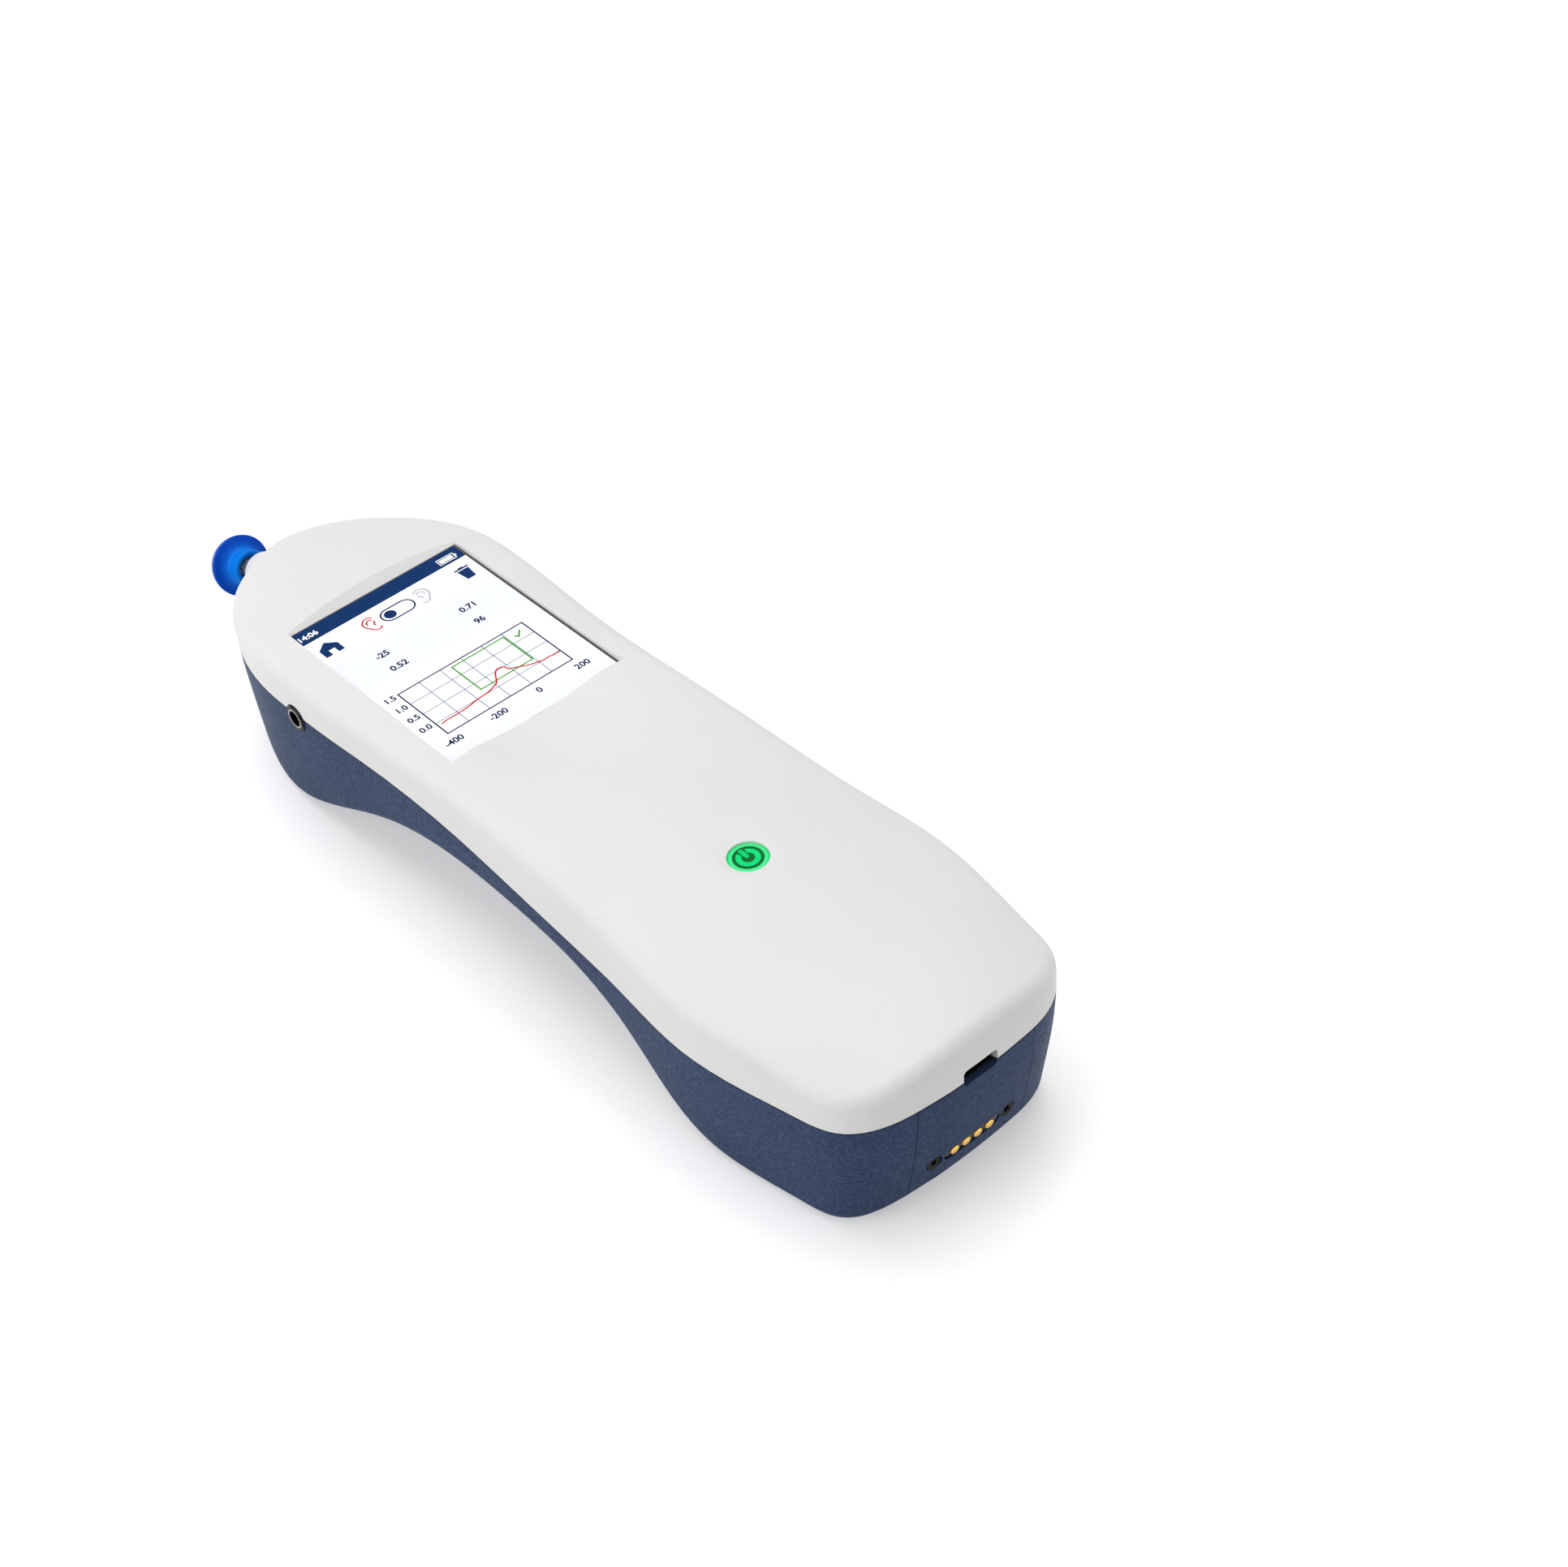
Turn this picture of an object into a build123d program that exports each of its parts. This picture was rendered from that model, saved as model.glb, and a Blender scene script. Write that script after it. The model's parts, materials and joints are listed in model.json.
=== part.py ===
from build123d import *
from build123d.topology import SkipClean
from math import cos, radians, sin, tan
import os

os.makedirs("parts", exist_ok=True)

# A hand-held tympanometer that lies on its back on a table. Sizes are in millimetres.
# X is the width, +Y points along the handle to the probe, and Z is up from the table.
# A name that ends in _d is a distance along Y from the tail end, and one in _z a height.

# Case
housing_length = 227.6
housing_width = 66.7
housing_height = 43.5
wall = 2.2
cover_edge_round = 3.6
belly_edge_round = 3.0
seam_gap = 0.3
gasket_setback = 0.5
overrun = 10.0
fit_gap = 0.15
screw_gap = 0.05

# Shape of the case seen from above, as shares of half the width and of the length
plan_shares = [
    (0, 0), (0.31, 0.0024), (0.565, 0.0092), (0.818, 0.035), (0.917, 0.0945),
    (1.0, 0.2043), (0.934, 0.323), (0.905, 0.446), (0.889, 0.569), (0.905, 0.6656),
    (0.935, 0.7535), (0.925, 0.8326), (0.80, 0.9029), (0.57, 0.9595), (0.275, 0.988), (0, 1),
]
plan_breaks = (4, 6, 8, 10, 12, 13)

# Share of the height, how far the side wall leans in there, and how much more the tail end does
lean_shares = [(-0.06, 0.045, 0.0205), (0.28, 0.022, 0.0095), (0.66, 0, 0.001), (1.1, 0.05, 0)]
# Share of the length over which the tail's own lean fades out
tail_lean_share = 0.14

# Side view of the case, as shares of the length and of the height
belly_shares = [
    (-0.03, 0.215), (0, 0.145), (0.02, 0.1), (0.042, 0.036), (0.075, 0.004), (0.13, -0.004),
    (0.19, 0.012), (0.245, 0.117), (0.306, 0.325), (0.37, 0.452), (0.449, 0.492),
    (0.53, 0.482), (0.628, 0.402), (0.70, 0.268),
    (0.76, 0.118), (0.814, 0.014), (0.845, -0.004), (0.876, 0.014), (0.92, 0.098),
    (0.964, 0.19), (1.01, 0.31),
]
seam_shares = [
    (-0.01, 0.75), (0.0066, 0.713), (0.044, 0.676), (0.182, 0.618), (0.358, 0.625),
    (0.534, 0.694), (0.71, 0.713), (0.841, 0.699), (1.002, 0.57),
]

# Crowned top: share of the length, height share at the middle, and drop share at the rim
crown_shares = [
    (-0.022, 0.935, 0.12), (0.088, 0.985, 0.15), (0.281, 1.0, 0.105), (0.42, 0.994, 0.07),
    (0.571, 0.956, 0.042), (0.703, 0.951, 0.062), (0.84, 0.95, 0.066), (0.90, 0.922, 0.12),
    (1.006, 0.768, 0.33),
]

# Screen
screen_width = 44.0
screen_length = 58.9
screen_start_d = 130.6
screen_z = 39.7
glass_thickness = 1.1
foam_thickness = 0.3
glass_rest = 1.5
ledge_thickness = 1.5
well_wall = 1.5
display_gap = 0.2
display_thickness = 2.2
frame_reach = 0.7
frame_rail = 3.0
bevel_side = 0.5
bevel_top_run = 2.6
bevel_height = 1.6
scoop_radius = 102.0
scoop_depth = 0.1

# Power button
button_d = 64.0
button_radius = 4.15
button_top_z = 42.9
button_flange_radius = 5.3
button_flange_thickness = 0.95
button_well_wall = 1.3
button_seat_z = 41.2
button_stem_radius = 1.5
button_rest_gap = 0.4
button_dish_radius = 38.0
button_dish_depth = 0.55
button_edge_round = 0.5
button_foot_z = 39.0
switch_width = 6.0
switch_body_height = 3.2
switch_plunger_radius = 1.6

# Headphone jack, on the left side
jack_d = 177.1
jack_z = 29.9
jack_bore_radius = 1.8
jack_ring_radius = 3.15
jack_face_x = -31.7
jack_ring_length = 3.7
jack_ring_chamfer = 0.4
jack_body_length = 13.0
jack_body_width = 6.4
jack_end_wall = 1.0

# Charging and data socket in the tail
port_width = 8.65
port_height = 4.0
port_z = 32.4
port_shell_width = 7.6
port_shell_height = 2.8
port_shell_length = 5.6
port_shell_wall = 0.35
port_start_d = 1.3
port_tongue_width = 5.6
port_tongue_thickness = 0.7
port_tongue_start_d = 2.1

# Main board
board_z = 33.0
board_thickness = 1.6
board_width = 50.0
board_start_d = 10.0
board_end_d = 201.0
board_tab_width = 18.0
board_tab_start_d = 4.2
board_corner_x = 11.0
board_corner_y = 15.0
board_corner_round = 5.0
board_boss_gap = 0.5
board_port_gap = 0.1
board_post_radius = 2.5
board_post_places = [(22.0, 20.0), (22.0, 76.0), (22.0, 118.0), (10.0, 197.4)]
board_screw_radius = 1.0
board_screw_head_radius = 1.8
board_screw_head_height = 1.3
screw_recess_share = 0.45
board_screw_tip_z = 37.6

# Case screws and the bosses they join
boss_radius = 3.5
boss_places = [(23.5, 34.0), (22.2, 196.6)]
boss_split_z = 27.0
case_screw_radius = 1.45
case_screw_head_radius = 2.7
case_screw_head_height = 2.0
case_screw_seat_z = 15.0
case_screw_tip_z = 36.0

# Battery door, let into the end face and the underside
door_width = 29.4
door_length = 46.0
door_tab_width = 8.0
door_tab_length = 3.0
door_tab_thickness = 1.0
door_tab_z = 2.9
door_rib_width = 1.2
door_rib_x = 8.0
door_rib_start_d = 16.0
door_rib_end_d = 44.0
door_rib_top_z = 3.8
contact_z = 10.7
contact_pitch = 3.0
contact_count = 4
contact_radius = 1.1
contact_block_height = 3.4
contact_block_margin = 1.7
contact_face_d = 3.6
contact_back_d = 6.0
door_screw_x = 9.5
door_screw_radius = 1.0
door_screw_head_radius = 1.7
door_screw_head_height = 1.2
door_screw_tip_d = 9.8
door_screw_face_d = 3.8

# Bay that holds the battery behind the door
bay_wall = 1.5
bay_end_d = 50.0
bay_top_z = 25.5
bay_roof_thickness = 1.5
bar_start_d = 7.5
bar_thickness = 2.6
bar_height = 6.5
pin_radius = 0.8
pin_back_d = 10.1
pin_tip_radius = 0.5
pin_touch_gap = 0.1
flex_width = 12.0
flex_thickness = 0.3
pack_width = 28.9
pack_start_d = 10.6
pack_length = 36.5
pack_z = 4.2
pack_height = 19.6
sleeve_thickness = 0.3
cell_gap = 0.2
battery_pin_radius = 0.8
battery_pin_pitch = 4.0
battery_pin_d = 39.0
battery_pad_radius = 1.4
pack_edge_round = 1.0
stop_width = 20.0
stop_height = 12.0
stop_z = 8.0

# Air pump, on the right of the head
pump_x = 9.0
pump_z = 24.0
motor_radius = 6.0
motor_start_d = 152.0
motor_length = 16.0
motor_flat = 5.4
motor_cap_radius = 3.0
motor_cap_length = 1.2
bracket_plate = 1.5
bracket_base = 1.5
bracket_width = 14.0
bracket_hole_radius = 2.0
saddle_places_d = (184.0, 196.0)
screw_radius = 1.5
screw_running_gap = 0.05
screw_tip_d = 183.7
rod_start_d = 174.0
rod_radius = 3.5
piston_start_d = 186.5
piston_length = 4.0
piston_radius = 5.35
piston_front_wall = 2.5
seal_width = 1.6
seal_depth = 1.0
seal_gap = 0.05
cylinder_bore_radius = 5.5
cylinder_radius = 7.0
cylinder_start_d = 180.0
cylinder_end_d = 200.0
cylinder_head_length = 3.0
saddle_width = 2.0
saddle_inset = 3.0
tube_radius = 1.0
tube_bore_radius = 0.5
tube_socket = 1.0
gallery_radius = 0.8
riser_radius = 0.65

# Air manifold, pressure sensor and relief valve
manifold_width = 12.5
manifold_right_x = -0.5
manifold_start_d = 186.0
manifold_end_d = 203.0
manifold_z = 18.0
manifold_height = 10.0
sensor_size = 7.0
sensor_d = 190.0
sensor_stub = 1.5
sensor_stub_radius = 1.5
valve_radius = 4.0
valve_length = 10.5
valve_cap_radius = 3.0
valve_cap_length = 1.5
pillar_radius = 2.0
air_tube_x = -3.0
air_tube_z = 19.6
air_tube_run = 3.0
air_tube_bend = 2.0
tube_bend_angle = 90
air_tube_rise = 1.5

# Probe: its axis leaves the nose and points down
probe_z = 21.5
probe_tilt = 19.4
body_radius = 6.5
body_back = -22.0
body_front = 2.0
thread_radius = 4.5
thread_front = 7.0
pocket_width = 8.4
pocket_front = -8.0
back_cap_thickness = 1.2
receiver_width = 5.2
receiver_height = 3.4
receiver_length = 7.0
probe_wire_slot = 2.0
probe_flex_width = 5.0
probe_flex_thickness = 0.3
probe_flex_start = -14.0
probe_flex_bend = -25.0
probe_flex_board_run = 6.0
microphone_height = 2.4
microphone_length = 4.5
nut_back = 2.2
nut_front = 13.0
nut_back_radius = 6.75
nut_front_radius = 4.9
nut_bore_radius = 4.55
nut_hole_radius = 3.3
probe_gasket_thickness = 0.4
probe_gasket_bore = 2.2
tip_flange_radius = 4.3
tip_flange_thickness = 1.2
tip_root_radius = 3.2
tip_end_radius = 2.4
tip_cone_end = 17.0
tip_end = 27.0
tip_channel_radius = 0.5
tip_channel_offset = 1.1
tip_channel_count = 4
ear_bore_gap = 0.05
ear_back = 18.6
ear_ring_radius = 4.4
ear_ring_end = 19.6
ear_neck_radius = 4.0
ear_neck_at = 20.9
ear_flare_radius = 4.6
ear_flare_at = 23.1
ear_rim_radius = 7.6
ear_rim_at = 24.4
ear_shoulder_radius = 6.6
ear_shoulder_at = 27.2
ear_front_radius = 3.4
ear_front = 29.5
cradle_d = 211.5
cradle_thickness = 2.0

# Small parts on the board
clock_cell_radius = 6.25
clock_cell_thickness = 2.0
clock_cell_d = 92.0
cell_holder_wall = 0.8
cell_holder_hole = 4.0
# Each chip: place along X, place from the tail, width, length and height
chip_places = [
    (0, 84.0, 12.0, 12.0, 1.2), (-14.0, 88.0, 9.0, 7.0, 1.0), (17.0, 104.0, 7.0, 7.0, 0.9),
    (-17.0, 104.0, 6.0, 5.0, 1.0), (0, 112.0, 5.0, 4.0, 1.1), (0, 101.0, 9.0, 9.0, 1.0),
    (-15.0, 52.0, 5.0, 6.0, 1.1), (14.0, 48.0, 8.0, 8.0, 1.0), (0, 30.0, 6.0, 5.0, 1.2),
]
shield_width = 20.0
shield_length = 24.0
shield_height = 2.6
shield_wall = 0.3
shield_d = 106.0
socket_width = 12.0
socket_length = 4.0
socket_height = 1.0
socket_d = 150.0
display_flex_width = 10.0
display_flex_start_d = 136.0
display_flex_thickness = 0.2

# Derived places
tilt = radians(probe_tilt)
overall_length = housing_length + ear_front * cos(tilt) + ear_front_radius * sin(tilt)
tail_y = -overall_length / 2
board_top_z = board_z + board_thickness
screen_mid_d = screen_start_d + screen_length / 2
glass_bottom_z = screen_z - glass_thickness
ledge_top_z = glass_bottom_z - foam_thickness
ledge_bottom_z = ledge_top_z - ledge_thickness
display_bottom_z = glass_bottom_z - display_thickness


def at(distance):
    """Place along Y of a distance from the tail end."""
    return tail_y + distance


def both_sides(places):
    """The places of a mirrored pair of pieces for each place on the right."""
    return [(side * x, at(d)) for x, d in places for side in (1, -1)]


def slab(size_x, size_y, low, high, centre=(0, 0), mode=Mode.ADD):
    """A block from one height to another, in the part being built."""
    with BuildSketch(Plane.XY.offset(low)) as profile:
        with Locations(centre):
            Rectangle(size_x, size_y)
    extrude(profile.sketch, amount=high - low, mode=mode)


def posts(radius, low, high, centres, mode=Mode.ADD):
    """Round posts or holes from one height to another, in the part being built."""
    with BuildSketch(Plane.XY.offset(low)) as profile:
        with Locations(*centres):
            Circle(radius)
    extrude(profile.sketch, amount=high - low, mode=mode)


def rod_along_y(radius, start_d, end_d, x, z, mode=Mode.ADD):
    """A round bar along Y, in the part being built."""
    with BuildSketch(Plane.XZ.offset(-at(start_d))) as profile:
        with Locations((x, z)):
            Circle(radius)
    extrude(profile.sketch, amount=start_d - end_d, mode=mode)


def outline_points(inset, tail_lean):
    """Half of the case outline, its tail end pushed in, then all of it moved in square to itself."""
    points = [
        Vector(
            x * housing_width / 2,
            at(share * housing_length) + max(0, 1 - share / tail_lean_share) * tail_lean,
        )
        for x, share in plan_shares
    ]
    before_first = Vector(-points[1].X, points[1].Y)
    after_last = Vector(-points[-2].X, points[-2].Y)
    ring = [before_first] + points + [after_last]
    moved = []
    for before, here, after in zip(ring, ring[1:], ring[2:]):
        run = (after - before).normalized()
        moved.append(here + Vector(-run.Y, run.X) * inset)
    return moved


def outline(height, inset, tail_lean):
    """The closed outline of the case at one height, drawn as smooth stretches."""
    half = outline_points(inset, tail_lean)
    last = len(half) - 1
    ring = half + [Vector(-point.X, point.Y) for point in half[-2:0:-1]]
    count = len(ring)
    stops = [0, *plan_breaks, last, *[count - k for k in reversed(plan_breaks)], count]
    headings = [(ring[(k + 1) % count] - ring[k - 1]).normalized() for k in range(count)]
    with BuildLine() as lines:
        for first, end in zip(stops, stops[1:]):
            stretch = [ring[k % count] + Vector(0, 0, height) for k in range(first, end + 1)]
            Spline(*stretch, tangents=[headings[first], headings[end % count]])
    return lines.wire()


def crowned_top(inset):
    """A long block whose top has the crown of the cover."""
    reach = housing_width / 2 + overrun
    with BuildPart() as block:
        for length_share, middle_share, drop_share in crown_shares:
            middle = middle_share * housing_height - inset
            rim = middle - drop_share * housing_height * (reach / (housing_width / 2)) ** 2
            with BuildSketch(Plane.XZ.offset(-at(length_share * housing_length))):
                with BuildLine():
                    crown = ThreePointArc((-reach, rim), (0, middle), (reach, rim))
                    Polyline(crown @ 1, (reach, -overrun), (-reach, -overrun), crown @ 0)
                make_face()
        loft()
    return block.part


def above_belly(inset):
    """Everything above the curved underside."""
    low_y, high_y = at(-overrun), at(housing_length + overrun)
    with BuildPart() as block:
        with BuildSketch(Plane.YZ.offset(-housing_width)):
            with BuildLine():
                belly = Spline(
                    *[
                        (at(length * housing_length), height * housing_height + inset)
                        for length, height in belly_shares
                    ]
                )
                top = housing_height + overrun
                Polyline(belly @ 1, (high_y, top), (low_y, top), belly @ 0)
            make_face()
        extrude(amount=2 * housing_width)
    return block.part


def seam_region(shift, above):
    """Everything above, or below, the seam line moved up by a shift."""
    low_y, high_y = at(-overrun), at(housing_length + overrun)
    far_z = housing_height + overrun if above else -overrun
    with BuildPart() as block:
        with BuildSketch(Plane.YZ.offset(-housing_width)):
            with BuildLine():
                seam = Spline(
                    *[
                        (at(length * housing_length), height * housing_height + shift)
                        for length, height in seam_shares
                    ]
                )
                Polyline(
                    seam @ 1, (high_y, (seam @ 1).Y), (high_y, far_z),
                    (low_y, far_z), (low_y, (seam @ 0).Y), seam @ 0,
                )
            make_face()
        extrude(amount=2 * housing_width)
    return block.part


def envelope(inset, top_round, bottom_round):
    """The solid inside the case's skin, all of it moved in by an inset."""
    rings = [
        outline(share * housing_height, inset + lean * housing_width / 2, tail * housing_length)
        for share, lean, tail in lean_shares
    ]
    with BuildPart() as body:
        add(Solid.make_loft(rings))
        add(crowned_top(inset), mode=Mode.INTERSECT)
        add(above_belly(inset), mode=Mode.INTERSECT)
    shape = body.part
    seam_low = min(height for _, height in seam_shares) * housing_height
    if top_round:
        rim = [e for e in shape.edges() if is_level_run(e) and e.center().Z > seam_low + wall]
        shape = shape.fillet(top_round, rim)
    if bottom_round:
        rim = [e for e in shape.edges() if is_level_run(e) and e.center().Z < seam_low - wall]
        shape = shape.fillet(bottom_round, rim)
    return shape


def is_level_run(edge):
    """True for the edges that run round the case, not for those that climb its side."""
    size = edge.bounding_box().size
    return size.X + size.Y > size.Z


def finish(builder, name):
    """Name a finished piece and write it out."""
    builder.part.label = name
    export_step(builder.part, f"parts/{name}.step")
    size = builder.part.bounding_box().size
    print(f"{name}: {size.X:.1f} x {size.Y:.1f} x {size.Z:.1f} mm, {len(builder.part.solids())} solids")


# Frame of the probe: its local Z runs out along the probe from the nose
probe_plane = Plane(
    origin=(0, at(housing_length), probe_z), x_dir=(1, 0, 0), z_dir=(0, cos(tilt), -sin(tilt))
)
# The same place turned so that local X is a radius and local Y runs along the probe
probe_section = Plane(
    origin=(0, at(housing_length), probe_z), x_dir=(1, 0, 0), z_dir=(0, sin(tilt), cos(tilt))
)
probe_axis = Axis((0, at(housing_length), probe_z), (0, cos(tilt), -sin(tilt)))


def probe_rod(radius, start, end, mode=Mode.ADD):
    """A round bar along the probe's axis, in the part being built."""
    with BuildSketch(probe_plane.offset(start)) as profile:
        Circle(radius)
    extrude(profile.sketch, amount=end - start, mode=mode)


def probe_turned(points, mode=Mode.ADD):
    """A piece turned about the probe's axis from points of radius and distance."""
    with BuildSketch(probe_section) as profile:
        with BuildLine():
            Polyline(*points, close=True)
        make_face()
    revolve(profile.sketch, axis=probe_axis, mode=mode)


# Solids shared by the case pieces
with SkipClean():
    case_skin = envelope(0, cover_edge_round, belly_edge_round)
    case_inside = envelope(wall, 0, belly_edge_round - wall)
    gasket_skin = envelope(gasket_setback, 0, 0)
    above_seam = seam_region(seam_gap / 2, True)
    below_seam = seam_region(-seam_gap / 2, False)

with BuildPart() as case_openings:
    # Round hole for the jack ring, slot for the port and hole for the probe
    with BuildSketch(Plane.YZ.offset(jack_face_x - overrun)):
        with Locations((at(jack_d), jack_z)):
            Circle(jack_ring_radius + fit_gap)
    extrude(amount=jack_ring_length + overrun)
    with BuildSketch(Plane.XZ.offset(-at(-overrun))):
        with Locations((0, port_z)):
            RectangleRounded(port_width, port_height, port_height / 4)
    extrude(amount=-(overrun + port_start_d + port_shell_length))
    probe_rod(body_radius + fit_gap, pocket_front, overrun)

with BuildPart() as door_slot:
    # The door's own space, from below and behind the tail up to its inner end
    slab(
        door_width + 2 * fit_gap, door_length + fit_gap + overrun, -overrun, port_z,
        (0, at((door_length + fit_gap - overrun) / 2)),
    )

# Upper shell, with the screen well, the button well and the bosses that hang inside it
with SkipClean():
    with BuildPart() as cover_inside:
        well_x = screen_width + 2 * fit_gap
        well_y = screen_length + 2 * fit_gap
        slab(
            well_x + 2 * well_wall, well_y + 2 * well_wall, ledge_bottom_z, housing_height,
            (0, at(screen_mid_d)),
        )
        posts(
            button_flange_radius + fit_gap + button_well_wall,
            button_seat_z - button_flange_thickness - fit_gap, housing_height, [(0, at(button_d))],
        )
        posts(board_post_radius, board_top_z, housing_height, both_sides(board_post_places))
        posts(boss_radius, boss_split_z, housing_height, both_sides(boss_places))
        add(case_skin, mode=Mode.INTERSECT)
    with BuildPart() as top_cover:
        add(case_skin)
        add(case_inside, mode=Mode.SUBTRACT)
        add(above_seam, mode=Mode.INTERSECT)
        add(cover_inside.part)
        # Screen opening: a pocket for the glass, a ledge under it and sloping sides above it
        slab(well_x, well_y, ledge_top_z, housing_height, (0, at(screen_mid_d)), Mode.SUBTRACT)
        slab(
            screen_width - 2 * glass_rest, screen_length - 2 * glass_rest, 0, housing_height,
            (0, at(screen_mid_d)), Mode.SUBTRACT,
        )
        with BuildSketch(Plane.XY.offset(screen_z)):
            with Locations((0, at(screen_mid_d))):
                Rectangle(well_x, well_y)
        with BuildSketch(Plane.XY.offset(screen_z + bevel_height)):
            with Locations((0, at(screen_mid_d) + bevel_top_run / 2)):
                Rectangle(well_x + 2 * bevel_side, well_y + bevel_top_run)
        loft(mode=Mode.SUBTRACT)
        slab(
            well_x + 2 * bevel_side, well_y + bevel_top_run, screen_z + bevel_height,
            housing_height, (0, at(screen_mid_d) + bevel_top_run / 2), Mode.SUBTRACT,
        )
        # Shallow hollows under the screen and round the button
        with Locations((0, at(screen_start_d), screen_z + scoop_depth + scoop_radius)):
            Sphere(scoop_radius, mode=Mode.SUBTRACT)
        with Locations((0, at(button_d), housing_height - button_dish_depth + button_dish_radius)):
            Sphere(button_dish_radius, mode=Mode.SUBTRACT)
        posts(button_radius + fit_gap, 0, housing_height, [(0, at(button_d))], Mode.SUBTRACT)
        posts(
            button_flange_radius + fit_gap, 0, button_seat_z, [(0, at(button_d))], Mode.SUBTRACT,
        )
        # Screw holes in the hanging bosses
        posts(
            board_screw_radius + screw_gap, board_z, board_screw_tip_z + fit_gap,
            both_sides(board_post_places), Mode.SUBTRACT,
        )
        posts(
            case_screw_radius + screw_gap, 0, case_screw_tip_z + fit_gap,
            both_sides(boss_places), Mode.SUBTRACT,
        )
        add(case_openings.part, mode=Mode.SUBTRACT)
finish(top_cover, "top_cover")

# Lower shell, with the battery bay, screw bosses, pump pillars and the probe's cradle
pump_pillar_d = (rod_start_d, cylinder_end_d - saddle_inset)
bracket_low_z = pump_z - cylinder_radius - bracket_base
manifold_x = manifold_right_x - manifold_width / 2
manifold_pillar_d = (manifold_start_d + pillar_radius, manifold_end_d - pillar_radius)
bay_width = door_width + 2 * fit_gap + 2 * bay_wall
bay_length = bay_end_d + bay_wall - bar_start_d
bay_mid_d = bar_start_d + bay_length / 2
bar_mid_d = bar_start_d + bar_thickness / 2
stop_d = pack_start_d + pack_length + fit_gap
contact_places = [(k - (contact_count - 1) / 2) * contact_pitch for k in range(contact_count)]
pad_places = [(k * battery_pin_pitch, at(battery_pin_d)) for k in (-1, 0, 1)]
with SkipClean():
    with BuildPart() as housing_inside:
        # Bay walls with a roof, and the bar that takes the door screws and charge pins
        slab(bay_width, bay_length, 0, bay_top_z, (0, at(bay_mid_d)))
        slab(
            bay_width - 2 * bay_wall, bay_length, 0, bay_top_z - bay_roof_thickness,
            (0, at(bay_mid_d - bay_wall)), Mode.SUBTRACT,
        )
        slab(
            bay_width, bar_thickness, contact_z - bar_height / 2, contact_z + bar_height / 2,
            (0, at(bar_mid_d)),
        )
        slab(
            flex_width + 2 * fit_gap, pack_start_d - bar_start_d, bay_top_z - bay_roof_thickness,
            bay_top_z, (0, at((pack_start_d + bar_start_d) / 2)), Mode.SUBTRACT,
        )
        posts(battery_pin_radius + fit_gap, 0, bay_top_z, pad_places, Mode.SUBTRACT)
        # Block on the end wall that the pack is pushed against
        slab(
            stop_width, bay_end_d - stop_d, stop_z, stop_z + stop_height,
            (0, at((stop_d + bay_end_d) / 2)),
        )
        posts(boss_radius, 0, boss_split_z, both_sides(boss_places))
        posts(pillar_radius, 0, bracket_low_z, [(pump_x, at(d)) for d in pump_pillar_d])
        posts(pillar_radius, 0, manifold_z, [(manifold_x, at(d)) for d in manifold_pillar_d])
        slab(
            2 * (body_radius + bay_wall), cradle_thickness, 0, probe_z + body_radius,
            (0, at(cradle_d)),
        )
        probe_rod(body_radius + fit_gap, body_back - overrun, body_front, Mode.SUBTRACT)
        add(case_skin, mode=Mode.INTERSECT)
        add(below_seam, mode=Mode.INTERSECT)
    with BuildPart() as bottom_housing:
        add(case_skin)
        add(case_inside, mode=Mode.SUBTRACT)
        add(below_seam, mode=Mode.INTERSECT)
        add(door_slot.part, mode=Mode.SUBTRACT)
        add(housing_inside.part)
        # The door's inner tab lies over the floor's edge, in a shallow pocket
        slab(
            door_tab_width + 2 * fit_gap, door_tab_length + fit_gap + wall,
            door_tab_z - fit_gap, pack_z, (0, at(door_length + (door_tab_length + fit_gap - wall) / 2)),
            Mode.SUBTRACT,
        )
        # Screw passages from below, with a wide bore up to each head
        posts(
            case_screw_radius + screw_gap, -overrun, boss_split_z, both_sides(boss_places),
            Mode.SUBTRACT,
        )
        posts(
            case_screw_head_radius + fit_gap, -overrun, case_screw_seat_z,
            both_sides(boss_places), Mode.SUBTRACT,
        )
        for x in (-door_screw_x, door_screw_x):
            rod_along_y(
                door_screw_radius + screw_gap, bar_start_d - overrun, pin_back_d, x, contact_z,
                Mode.SUBTRACT,
            )
        for x in contact_places:
            rod_along_y(
                pin_radius + screw_gap, bar_start_d - overrun, pin_back_d, x, contact_z,
                Mode.SUBTRACT,
            )
        add(case_openings.part, mode=Mode.SUBTRACT)
        # Flat resting faces where the foot and the belly meet the table
        slab(
            2 * housing_width, 2 * housing_length, -overrun, 0, (0, 0), Mode.SUBTRACT,
        )
finish(bottom_housing, "bottom_housing")

# Thin gasket between the two shells
with SkipClean():
    with BuildPart() as seam_gasket:
        add(gasket_skin)
        add(case_inside, mode=Mode.SUBTRACT)
        add(seam_region(-seam_gap / 2, True), mode=Mode.INTERSECT)
        add(seam_region(seam_gap / 2, False), mode=Mode.INTERSECT)
        add(case_openings.part, mode=Mode.SUBTRACT)
finish(seam_gasket, "seam_gasket")

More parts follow.
